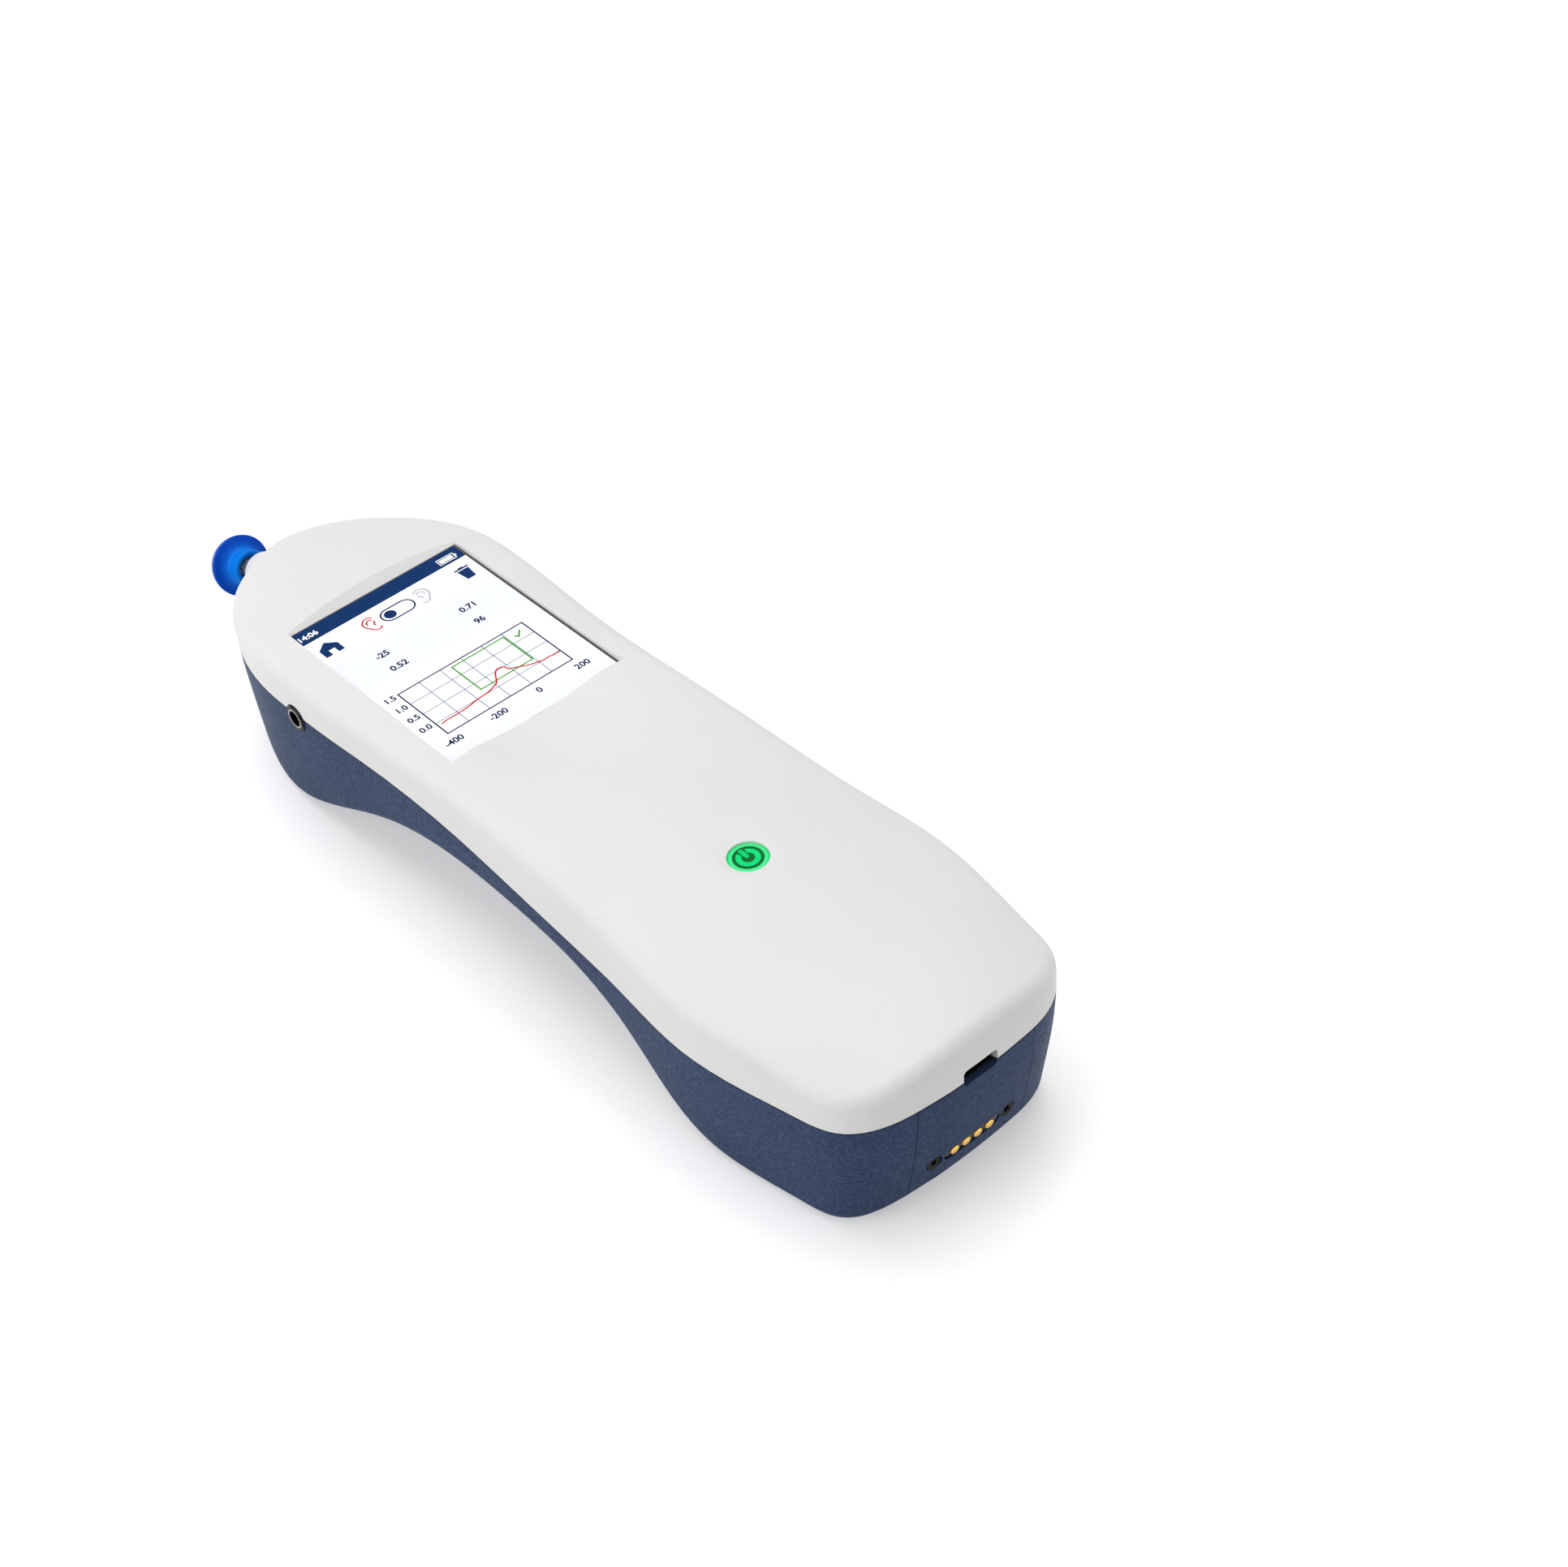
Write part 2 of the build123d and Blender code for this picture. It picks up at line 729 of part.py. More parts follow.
# Battery door, with its ribs, tab, contact opening and screw recesses
contact_row = (contact_count - 1) * contact_pitch
contact_block_length = contact_row + 2 * (contact_radius + contact_block_margin)
with SkipClean():
    with BuildPart() as battery_door:
        add(case_skin)
        add(case_inside, mode=Mode.SUBTRACT)
        add(seam_region(-seam_gap, False), mode=Mode.INTERSECT)
        slab(
            door_width, door_length + overrun, -overrun, port_z,
            (0, at((door_length - overrun) / 2)), Mode.INTERSECT,
        )
        for x in (-door_rib_x, door_rib_x):
            slab(
                door_rib_width, door_rib_end_d - door_rib_start_d, wall / 2, door_rib_top_z,
                (x, at((door_rib_start_d + door_rib_end_d) / 2)),
            )
        slab(
            door_tab_width, door_tab_length + wall, door_tab_z, door_tab_z + door_tab_thickness,
            (0, at(door_length + (door_tab_length - wall) / 2)),
        )
        with BuildSketch(Plane.XZ.offset(-at(-overrun))):
            with Locations((0, contact_z)):
                SlotOverall(contact_block_length, contact_block_height)
        extrude(amount=-(overrun + contact_back_d), mode=Mode.SUBTRACT)
        for x in (-door_screw_x, door_screw_x):
            rod_along_y(
                door_screw_head_radius + fit_gap, -overrun,
                door_screw_face_d + door_screw_head_height, x, contact_z, Mode.SUBTRACT,
            )
            rod_along_y(
                door_screw_radius + screw_gap, -overrun, bar_start_d, x, contact_z, Mode.SUBTRACT,
            )
        add(case_openings.part, mode=Mode.SUBTRACT)
        slab(2 * housing_width, 2 * housing_length, -overrun, 0, (0, 0), Mode.SUBTRACT)
finish(battery_door, "battery_door")

# Captive screws of the door, with slotted heads
with BuildPart() as door_screws:
    for x in (-door_screw_x, door_screw_x):
        rod_along_y(
            door_screw_head_radius, door_screw_face_d, door_screw_face_d + door_screw_head_height,
            x, contact_z,
        )
        rod_along_y(door_screw_radius, door_screw_face_d, door_screw_tip_d, x, contact_z)
        recess = door_screw_head_radius * screw_recess_share
        rod_along_y(
            recess, door_screw_face_d, door_screw_face_d + door_screw_head_height / 2,
            x, contact_z, Mode.SUBTRACT,
        )
finish(door_screws, "door_screws")

# Charge contacts in their black block, and the sprung pins they meet inside
with BuildPart() as contact_block:
    with BuildSketch(Plane.XZ.offset(-at(contact_face_d))):
        with Locations((0, contact_z)):
            SlotOverall(
                contact_block_length - 2 * screw_gap, contact_block_height - 2 * screw_gap
            )
    extrude(amount=contact_face_d - contact_back_d)
    for x in contact_places:
        rod_along_y(
            contact_radius + screw_gap, contact_face_d, contact_back_d, x, contact_z,
            Mode.SUBTRACT,
        )
finish(contact_block, "contact_block")

with BuildPart() as charge_contacts:
    for x in contact_places:
        rod_along_y(contact_radius, contact_face_d + fit_gap, contact_back_d, x, contact_z)
finish(charge_contacts, "charge_contacts")

with BuildPart() as charge_pins:
    for x in contact_places:
        rod_along_y(pin_radius, bar_start_d, pin_back_d, x, contact_z)
        rod_along_y(pin_tip_radius, contact_back_d + pin_touch_gap, bar_start_d, x, contact_z)
finish(charge_pins, "charge_pins")

with BuildPart() as charge_flex:
    slab(
        flex_width, flex_thickness, contact_z - pin_radius, board_z,
        (0, at(pin_back_d + flex_thickness / 2)),
    )
finish(charge_flex, "charge_flex")

# Battery pack: two flat cells side by side in a sleeve, with pads on top
pack_mid = (0, at(pack_start_d + pack_length / 2))
pack_top_z = pack_z + pack_height
cell_width = pack_width / 2 - sleeve_thickness - cell_gap / 2
with BuildPart() as battery_cells:
    for side in (-1, 1):
        slab(
            cell_width, pack_length - 2 * sleeve_thickness, pack_z + sleeve_thickness,
            pack_top_z - sleeve_thickness, (side * (cell_width + cell_gap) / 2, pack_mid[1]),
        )
    fillet(battery_cells.edges().filter_by(Axis.Y), pack_edge_round - sleeve_thickness)
finish(battery_cells, "battery_cells")

with BuildPart() as battery_sleeve:
    slab(pack_width, pack_length, pack_z, pack_top_z, pack_mid)
    fillet(battery_sleeve.edges().filter_by(Axis.Y), pack_edge_round)
    slab(
        pack_width - 2 * sleeve_thickness, pack_length, pack_z + sleeve_thickness,
        pack_top_z - sleeve_thickness, pack_mid, Mode.SUBTRACT,
    )
    posts(
        battery_pad_radius + screw_gap, pack_top_z - sleeve_thickness, pack_top_z, pad_places,
        Mode.SUBTRACT,
    )
finish(battery_sleeve, "battery_sleeve")

with BuildPart() as battery_pads:
    posts(battery_pad_radius, pack_top_z - sleeve_thickness, pack_top_z, pad_places)
finish(battery_pads, "battery_pads")

with BuildPart() as battery_pins:
    posts(battery_pin_radius, pack_top_z, board_z, pad_places)
finish(battery_pins, "battery_pins")

# Main board, hung from the cover
with BuildPart() as main_board:
    with BuildSketch(Plane.XY.offset(board_z)) as board_shape:
        with Locations((0, at((board_start_d + board_end_d) / 2))):
            Rectangle(board_width, board_end_d - board_start_d)
        fillet(board_shape.vertices().group_by(Axis.Y)[0], board_corner_round)
        with Locations((0, at((board_tab_start_d + board_start_d) / 2 + overrun / 2))):
            Rectangle(board_tab_width, board_start_d - board_tab_start_d + overrun)
        for side in (-1, 1):
            with Locations((side * board_width / 2, at(board_end_d))):
                Rectangle(2 * board_corner_x, 2 * board_corner_y, mode=Mode.SUBTRACT)
        with Locations(*both_sides(boss_places)):
            Circle(boss_radius + board_boss_gap, mode=Mode.SUBTRACT)
        with Locations((0, at(port_start_d + port_shell_length + board_port_gap - overrun / 2))):
            Rectangle(port_shell_width + 2 * board_port_gap, overrun, mode=Mode.SUBTRACT)
        with Locations(*both_sides(board_post_places)):
            Circle(board_screw_radius + screw_gap, mode=Mode.SUBTRACT)
    extrude(amount=board_thickness)
finish(main_board, "main_board")

with BuildPart() as board_screws:
    head_low_z = board_z - board_screw_head_height
    posts(board_screw_head_radius, head_low_z, board_z, both_sides(board_post_places))
    posts(board_screw_radius, board_z, board_screw_tip_z, both_sides(board_post_places))
    posts(
        board_screw_head_radius * screw_recess_share, head_low_z,
        board_z - board_screw_head_height / 2, both_sides(board_post_places), Mode.SUBTRACT,
    )
finish(board_screws, "board_screws")

with BuildPart() as case_screws:
    head_low_z = case_screw_seat_z - case_screw_head_height
    posts(case_screw_head_radius, head_low_z, case_screw_seat_z, both_sides(boss_places))
    posts(case_screw_radius, case_screw_seat_z, case_screw_tip_z, both_sides(boss_places))
    posts(
        case_screw_head_radius * screw_recess_share, head_low_z,
        case_screw_seat_z - case_screw_head_height / 2, both_sides(boss_places), Mode.SUBTRACT,
    )
finish(case_screws, "case_screws")

# Parts soldered on top of the board
with BuildPart() as board_chips:
    for x, d, width, length, height in chip_places:
        slab(width, length, board_top_z, board_top_z + height, (x, at(d)))
finish(board_chips, "board_chips")

with BuildPart() as shield_can:
    shield_mid = (0, at(shield_d))
    slab(shield_width, shield_length, board_top_z, board_top_z + shield_height, shield_mid)
    slab(
        shield_width - 2 * shield_wall, shield_length - 2 * shield_wall, board_top_z,
        board_top_z + shield_height - shield_wall, shield_mid, Mode.SUBTRACT,
    )
finish(shield_can, "shield_can")

with BuildPart() as power_switch:
    switch_top_z = board_top_z + switch_body_height
    slab(switch_width, switch_width, board_top_z, switch_top_z, (0, at(button_d)))
    posts(
        switch_plunger_radius, switch_top_z, button_foot_z - button_rest_gap, [(0, at(button_d))]
    )
finish(power_switch, "power_switch")

# Clock cell in a cup under the board
with BuildPart() as clock_cell:
    posts(clock_cell_radius, board_z - clock_cell_thickness, board_z, [(0, at(clock_cell_d))])
finish(clock_cell, "clock_cell")

with BuildPart() as cell_holder:
    cup_low_z = board_z - clock_cell_thickness - cell_holder_wall
    cup_radius = clock_cell_radius + screw_gap
    posts(cup_radius + cell_holder_wall, cup_low_z, board_z, [(0, at(clock_cell_d))])
    posts(
        cup_radius, board_z - clock_cell_thickness, board_z, [(0, at(clock_cell_d))],
        Mode.SUBTRACT,
    )
    posts(cell_holder_hole, cup_low_z, board_z, [(0, at(clock_cell_d))], Mode.SUBTRACT)
finish(cell_holder, "cell_holder")

# Display stack: glass, foam strip, panel, frame under it, and its flat cable
screen_mid = (0, at(screen_mid_d))
opening_width = screen_width - 2 * glass_rest
opening_length = screen_length - 2 * glass_rest
with BuildPart() as touch_glass:
    slab(screen_width, screen_length, glass_bottom_z, screen_z, screen_mid)
finish(touch_glass, "touch_glass")

with BuildPart() as glass_foam:
    slab(screen_width, screen_length, ledge_top_z, glass_bottom_z, screen_mid)
    slab(opening_width, opening_length, ledge_top_z, glass_bottom_z, screen_mid, Mode.SUBTRACT)
finish(glass_foam, "glass_foam")

with BuildPart() as display_panel:
    slab(
        opening_width - 2 * display_gap, opening_length - 2 * display_gap, display_bottom_z,
        glass_bottom_z, screen_mid,
    )
finish(display_panel, "display_panel")

with BuildPart() as display_frame:
    frame_width = opening_width + 2 * frame_reach
    frame_length = opening_length + 2 * frame_reach
    slab(frame_width, frame_length, board_top_z, display_bottom_z, screen_mid)
    slab(
        frame_width - 2 * frame_rail, frame_length - 2 * frame_rail, board_top_z,
        display_bottom_z, screen_mid, Mode.SUBTRACT,
    )
finish(display_frame, "display_frame")

with BuildPart() as display_socket:
    slab(
        socket_width, socket_length, board_top_z, board_top_z + socket_height,
        (0, at(socket_d)),
    )
finish(display_socket, "display_socket")

with BuildPart() as display_flex:
    slab(
        display_flex_width, socket_d - display_flex_start_d,
        display_bottom_z - display_flex_thickness, display_bottom_z,
        (0, at((socket_d + display_flex_start_d) / 2)),
    )
    slab(
        display_flex_width, display_flex_thickness, board_top_z + socket_height,
        display_bottom_z, (0, at(socket_d - display_flex_thickness / 2)),
    )
finish(display_flex, "display_flex")

# Power button: a round cap with a flange under the cover and a stem over the switch
with BuildPart() as power_button:
    flange_top_z = button_seat_z - screw_gap
    flange_low_z = flange_top_z - button_flange_thickness
    posts(button_radius, flange_low_z, button_top_z, [(0, at(button_d))])
    fillet(power_button.faces().sort_by(Axis.Z)[-1].edges(), button_edge_round)
    posts(button_flange_radius, flange_low_z, flange_top_z, [(0, at(button_d))])
    posts(button_stem_radius, button_foot_z, flange_low_z, [(0, at(button_d))])
finish(power_button, "power_button")

# Headphone jack: a ring in the case wall and the body behind it, under the board
jack_back_x = jack_face_x + jack_ring_length
with BuildPart() as jack_ring:
    with BuildSketch(Plane.YZ.offset(jack_face_x)):
        with Locations((at(jack_d), jack_z)):
            Circle(jack_ring_radius)
    extrude(amount=jack_ring_length)
    chamfer(jack_ring.faces().sort_by(Axis.X)[0].edges(), jack_ring_chamfer)
    with BuildSketch(Plane.YZ.offset(jack_face_x)):
        with Locations((at(jack_d), jack_z)):
            Circle(jack_bore_radius)
    extrude(amount=jack_ring_length, mode=Mode.SUBTRACT)
finish(jack_ring, "jack_ring")

with BuildPart() as jack_body:
    slab(
        jack_body_length, jack_body_width, board_z - 2 * (board_z - jack_z), board_z,
        (jack_back_x + jack_body_length / 2, at(jack_d)),
    )
    with BuildSketch(Plane.YZ.offset(jack_back_x)):
        with Locations((at(jack_d), jack_z)):
            Circle(jack_bore_radius)
    extrude(amount=jack_body_length - jack_end_wall, mode=Mode.SUBTRACT)
finish(jack_body, "jack_body")

# Charging and data socket: a folded shell with a tongue inside
port_back_d = port_start_d + port_shell_length
with BuildPart() as port_shell:
    with BuildSketch(Plane.XZ.offset(-at(port_start_d))):
        with Locations((0, port_z)):
            RectangleRounded(port_shell_width, port_shell_height, port_shell_height / 4)
    extrude(amount=-port_shell_length)
    with BuildSketch(Plane.XZ.offset(-at(port_start_d))):
        with Locations((0, port_z)):
            RectangleRounded(
                port_shell_width - 2 * port_shell_wall, port_shell_height - 2 * port_shell_wall,
                port_shell_height / 4 - port_shell_wall / 2,
            )
    extrude(amount=port_shell_wall - port_shell_length, mode=Mode.SUBTRACT)
finish(port_shell, "port_shell")

with BuildPart() as port_tongue:
    slab(
        port_tongue_width, port_back_d - port_shell_wall - port_tongue_start_d,
        port_z - port_tongue_thickness / 2, port_z + port_tongue_thickness / 2,
        (0, at((port_tongue_start_d + port_back_d - port_shell_wall) / 2)),
    )
finish(port_tongue, "port_tongue")

# Air pump: motor, bracket, lead screw, piston with its seal, cylinder and cylinder head
bracket_start_d = motor_start_d + motor_length
with BuildPart() as pump_motor:
    rod_along_y(motor_radius, motor_start_d, bracket_start_d, pump_x, pump_z)
    slab(
        2 * motor_radius, motor_length, pump_z - motor_flat, pump_z + motor_flat,
        (pump_x, at(motor_start_d + motor_length / 2)), Mode.INTERSECT,
    )
    rod_along_y(
        motor_cap_radius, motor_start_d - motor_cap_length, motor_start_d, pump_x, pump_z
    )
finish(pump_motor, "pump_motor")

with BuildPart() as pump_bracket:
    saddle_top_z = pump_z - cylinder_radius / 2
    slab(
        bracket_width, bracket_plate, bracket_low_z, pump_z + motor_radius,
        (pump_x, at(bracket_start_d + bracket_plate / 2)),
    )
    slab(
        bracket_width, cylinder_end_d - bracket_start_d, bracket_low_z,
        bracket_low_z + bracket_base, (pump_x, at((bracket_start_d + cylinder_end_d) / 2)),
    )
    for d in saddle_places_d:
        slab(bracket_width, saddle_width, bracket_low_z, saddle_top_z, (pump_x, at(d)))
    rod_along_y(
        cylinder_radius + screw_gap, cylinder_start_d, cylinder_end_d, pump_x, pump_z,
        Mode.SUBTRACT,
    )
    rod_along_y(
        bracket_hole_radius, bracket_start_d, bracket_start_d + bracket_plate, pump_x, pump_z,
        Mode.SUBTRACT,
    )
finish(pump_bracket, "pump_bracket")

with BuildPart() as lead_screw:
    rod_along_y(screw_radius, bracket_start_d + pin_touch_gap, screw_tip_d, pump_x, pump_z)
finish(lead_screw, "lead_screw")

with BuildPart() as pump_piston:
    piston_end_d = piston_start_d + piston_length
    seal_start_d = piston_end_d - piston_front_wall / 2 - seal_width / 2
    rod_along_y(rod_radius, rod_start_d, piston_start_d, pump_x, pump_z)
    rod_along_y(piston_radius, piston_start_d, piston_end_d, pump_x, pump_z)
    rod_along_y(
        screw_radius + screw_running_gap, rod_start_d, piston_end_d - piston_front_wall,
        pump_x, pump_z, Mode.SUBTRACT,
    )
    # Groove for the seal
    with BuildSketch(Plane.XZ.offset(-at(seal_start_d))):
        with Locations((pump_x, pump_z)):
            Circle(piston_radius + seal_depth)
            Circle(piston_radius - seal_depth, mode=Mode.SUBTRACT)
    extrude(amount=-seal_width, mode=Mode.SUBTRACT)
finish(pump_piston, "pump_piston")

with BuildPart() as piston_seal:
    with BuildSketch(Plane.XZ.offset(-at(seal_start_d))):
        with Locations((pump_x, pump_z)):
            Circle(cylinder_bore_radius - seal_gap)
            Circle(piston_radius - seal_depth, mode=Mode.SUBTRACT)
    extrude(amount=-seal_width)
finish(piston_seal, "piston_seal")

with BuildPart() as pump_cylinder:
    rod_along_y(cylinder_radius, cylinder_start_d, cylinder_end_d, pump_x, pump_z)
    rod_along_y(
        cylinder_bore_radius, cylinder_start_d, cylinder_end_d, pump_x, pump_z, Mode.SUBTRACT
    )
finish(pump_cylinder, "pump_cylinder")


def rod_along_x(radius, start_x, end_x, d, z, mode=Mode.ADD):
    """A round bar along X, in the part being built."""
    with BuildSketch(Plane.YZ.offset(start_x)) as profile:
        with Locations((at(d), z)):
            Circle(radius)
    extrude(profile.sketch, amount=end_x - start_x, mode=mode)


# Air path from the pump: cylinder head, cross tube, manifold, sensor, valve and probe tube
cross_d = cylinder_end_d + cylinder_head_length / 2
head_side_x = pump_x - cylinder_radius
with BuildPart() as cylinder_head:
    rod_along_y(
        cylinder_radius, cylinder_end_d, cylinder_end_d + cylinder_head_length, pump_x, pump_z
    )
    rod_along_x(
        tube_radius + screw_gap, head_side_x, head_side_x + tube_socket, cross_d, pump_z,
        Mode.SUBTRACT,
    )
    # The cross bore is wider than the one it meets, and drilled a little past it
    rod_along_x(
        gallery_radius, head_side_x, pump_x + tube_socket, cross_d, pump_z, Mode.SUBTRACT
    )
    rod_along_y(tube_bore_radius, cylinder_end_d, cross_d, pump_x, pump_z, Mode.SUBTRACT)
finish(cylinder_head, "cylinder_head")

with BuildPart() as pump_tube:
    tube_left_x = manifold_right_x - tube_socket
    rod_along_x(tube_radius, tube_left_x, head_side_x + tube_socket, cross_d, pump_z)
    rod_along_x(
        tube_bore_radius, tube_left_x, head_side_x + tube_socket, cross_d, pump_z, Mode.SUBTRACT
    )
finish(pump_tube, "pump_tube")

with BuildPart() as manifold:
    manifold_top_z = manifold_z + manifold_height
    slab(
        manifold_width, manifold_end_d - manifold_start_d, manifold_z, manifold_top_z,
        (manifold_x, at((manifold_start_d + manifold_end_d) / 2)),
    )
    rod_along_x(
        tube_radius + screw_gap, tube_left_x, manifold_right_x, cross_d, pump_z, Mode.SUBTRACT
    )
    # Each bore ends inside a wider one that is drilled a little past it
    rod_along_x(
        gallery_radius, manifold_x - tube_socket, manifold_right_x, cross_d, pump_z,
        Mode.SUBTRACT,
    )
    rod_along_y(riser_radius, manifold_start_d, cross_d, manifold_x, pump_z, Mode.SUBTRACT)
    posts(tube_bore_radius, pump_z, manifold_top_z, [(manifold_x, at(sensor_d))], Mode.SUBTRACT)
    posts(
        riser_radius, air_tube_z - tube_socket, pump_z, [(air_tube_x, at(cross_d))],
        Mode.SUBTRACT,
    )
    rod_along_y(tube_bore_radius, cross_d, manifold_end_d, air_tube_x, air_tube_z, Mode.SUBTRACT)
    rod_along_y(
        tube_radius + screw_gap, manifold_end_d - tube_socket, manifold_end_d, air_tube_x,
        air_tube_z, Mode.SUBTRACT,
    )
finish(manifold, "manifold")

with BuildPart() as pressure_sensor:
    sensor_low_z = manifold_top_z + sensor_stub
    slab(sensor_size, sensor_size, sensor_low_z, board_z, (manifold_x, at(sensor_d)))
    posts(sensor_stub_radius, manifold_top_z, sensor_low_z, [(manifold_x, at(sensor_d))])
    posts(
        tube_bore_radius, manifold_top_z, sensor_low_z + sensor_stub, [(manifold_x, at(sensor_d))],
        Mode.SUBTRACT,
    )
finish(pressure_sensor, "pressure_sensor")

with BuildPart() as relief_valve:
    valve_start_d = manifold_start_d - valve_length
    rod_along_y(valve_radius, valve_start_d, manifold_start_d, manifold_x, pump_z)
    rod_along_y(
        valve_cap_radius, valve_start_d - valve_cap_length, valve_start_d, manifold_x, pump_z
    )
finish(relief_valve, "relief_valve")

with BuildPart() as air_tube:
    bend_y = at(manifold_end_d + air_tube_run)
    rise_y = bend_y + air_tube_bend
    bend_top_z = air_tube_z + air_tube_bend
    tube_end_z = bend_top_z + air_tube_rise
    # A level run, a quarter bend and a rise: first their outsides, then the bore through them
    for radius, mode in ((tube_radius, Mode.ADD), (tube_bore_radius, Mode.SUBTRACT)):
        rod_along_y(
            radius, manifold_end_d - tube_socket, manifold_end_d + air_tube_run, air_tube_x,
            air_tube_z, mode,
        )
        with BuildSketch(Plane.XZ.offset(-bend_y)):
            with Locations((air_tube_x, air_tube_z)):
                Circle(radius)
        revolve(
            axis=Axis((0, bend_y, bend_top_z), (1, 0, 0)), revolution_arc=tube_bend_angle,
            mode=mode,
        )
        posts(radius, bend_top_z, tube_end_z, [(air_tube_x, rise_y)], mode)
finish(air_tube, "air_tube")


def probe_block(width, centre_down, height, start, end, mode=Mode.ADD):
    """A block in the probe's frame, with its middle a given distance below the axis."""
    with BuildSketch(probe_plane.offset(start)) as profile:
        with Locations((0, centre_down)):
            Rectangle(width, height)
    extrude(profile.sketch, amount=end - start, mode=mode)


def probe_channels(start, end):
    """The ring of sound and pressure channels, cut from the part being built."""
    with BuildSketch(probe_plane.offset(start)) as profile:
        with PolarLocations(tip_channel_offset, tip_channel_count):
            Circle(tip_channel_radius)
    extrude(profile.sketch, amount=end - start, mode=Mode.SUBTRACT)


def probe_point(up, along):
    """Place across and up, in the middle plane, of a point in the probe's frame."""
    return (
        at(housing_length) + along * cos(tilt) + up * sin(tilt),
        probe_z - along * sin(tilt) + up * cos(tilt),
    )


# Probe: body with a threaded nose, back cap, receiver and microphone
with BuildPart() as probe_body:
    probe_rod(body_radius, body_back, body_front)
    probe_rod(thread_radius, body_front, thread_front)
    probe_block(pocket_width, 0, pocket_width, body_back, pocket_front, Mode.SUBTRACT)
    probe_channels(pocket_front, thread_front)
    posts(
        tube_radius + screw_gap, probe_z - body_radius, tube_end_z, [(air_tube_x, rise_y)],
        Mode.SUBTRACT,
    )
    posts(
        tube_bore_radius, tube_end_z, tube_end_z + air_tube_rise, [(air_tube_x, rise_y)],
        Mode.SUBTRACT,
    )
finish(probe_body, "probe_body")

with BuildPart() as probe_back_cap:
    probe_rod(body_radius, body_back - back_cap_thickness, body_back)
    probe_block(
        probe_flex_width + 2 * fit_gap, 0, probe_wire_slot, body_back - back_cap_thickness,
        body_back, Mode.SUBTRACT,
    )
finish(probe_back_cap, "probe_back_cap")

receiver_low = pocket_width / 2 - receiver_height
with BuildPart() as receiver:
    probe_block(
        receiver_width, -(pocket_width - receiver_height) / 2, receiver_height,
        pocket_front - receiver_length, pocket_front,
    )
finish(receiver, "receiver")

with BuildPart() as microphone:
    probe_block(
        receiver_width, (pocket_width - microphone_height) / 2, microphone_height,
        pocket_front - microphone_length, pocket_front,
    )
finish(microphone, "microphone")

with BuildPart() as probe_flex:
    flex_low = receiver_low - probe_flex_thickness
    flex_board_d = board_end_d - probe_wire_slot
    upper = [
        probe_point(receiver_low, probe_flex_start),
        probe_point(receiver_low, probe_flex_bend),
        (at(flex_board_d), board_z),
        (at(flex_board_d - probe_flex_board_run), board_z),
    ]
    lower = [
        probe_point(flex_low, probe_flex_start),
        probe_point(flex_low, probe_flex_bend),
        (at(flex_board_d), board_z - probe_flex_thickness),
        (at(flex_board_d - probe_flex_board_run), board_z - probe_flex_thickness),
    ]
    with BuildSketch(Plane.YZ.offset(-probe_flex_width / 2)):
        with BuildLine():
            Polyline(*upper, *reversed(lower), close=True)
        make_face()
    extrude(amount=probe_flex_width)
finish(probe_flex, "probe_flex")

# Nose cone that clamps the clear probe tip and its gasket onto the body
gasket_front = thread_front + probe_gasket_thickness
flange_front = gasket_front + tip_flange_thickness
with BuildPart() as probe_nut:
    probe_turned([
        (nut_bore_radius, nut_back), (nut_back_radius, nut_back), (nut_front_radius, nut_front),
        (nut_hole_radius, nut_front), (nut_hole_radius, flange_front + screw_gap),
        (nut_bore_radius, flange_front + screw_gap),
    ])
finish(probe_nut, "probe_nut")

with BuildPart() as probe_gasket:
    probe_turned([
        (probe_gasket_bore, thread_front), (tip_flange_radius, thread_front),
        (tip_flange_radius, gasket_front), (probe_gasket_bore, gasket_front),
    ])
finish(probe_gasket, "probe_gasket")

with BuildPart() as probe_tip:
    probe_turned([
        (0, gasket_front), (tip_flange_radius, gasket_front), (tip_flange_radius, flange_front),
        (tip_root_radius, flange_front), (tip_end_radius, tip_cone_end),
        (tip_end_radius, tip_end), (0, tip_end),
    ])
    probe_channels(gasket_front, tip_end)
finish(probe_tip, "probe_tip")

# Rubber ear tip, pushed over the end of the probe tip
with BuildPart() as ear_tip:
    ear_bore = tip_end_radius + ear_bore_gap
    with BuildSketch(probe_section):
        with BuildLine():
            back_line = Polyline(
                (ear_bore, ear_back), (ear_ring_radius, ear_back), (ear_ring_radius, ear_ring_end)
            )
            flare = Spline(
                back_line @ 1, (ear_neck_radius, ear_neck_at), (ear_flare_radius, ear_flare_at),
                (ear_rim_radius, ear_rim_at),
            )
            dome = Spline(
                flare @ 1, (ear_shoulder_radius, ear_shoulder_at), (ear_front_radius, ear_front)
            )
            Polyline(dome @ 1, (ear_bore, ear_front), back_line @ 0)
        make_face()
    revolve(axis=probe_axis)
finish(ear_tip, "ear_tip")
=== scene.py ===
# %% [markdown]
# # A hand-held ear tester, dressed on its CAD frame
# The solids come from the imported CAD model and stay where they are. This lesson adds what the
# CAD leaves out: real finishes, the lit picture on the screen, the lit button, bright metal in
# the sockets, and soft rubber at the probe. Everything is in metres, in the CAD model's frame:
# +Y runs from the tail to the probe, and Z is up from the table.

import json
import math

import bmesh
import bpy
from mathutils import Matrix, Vector


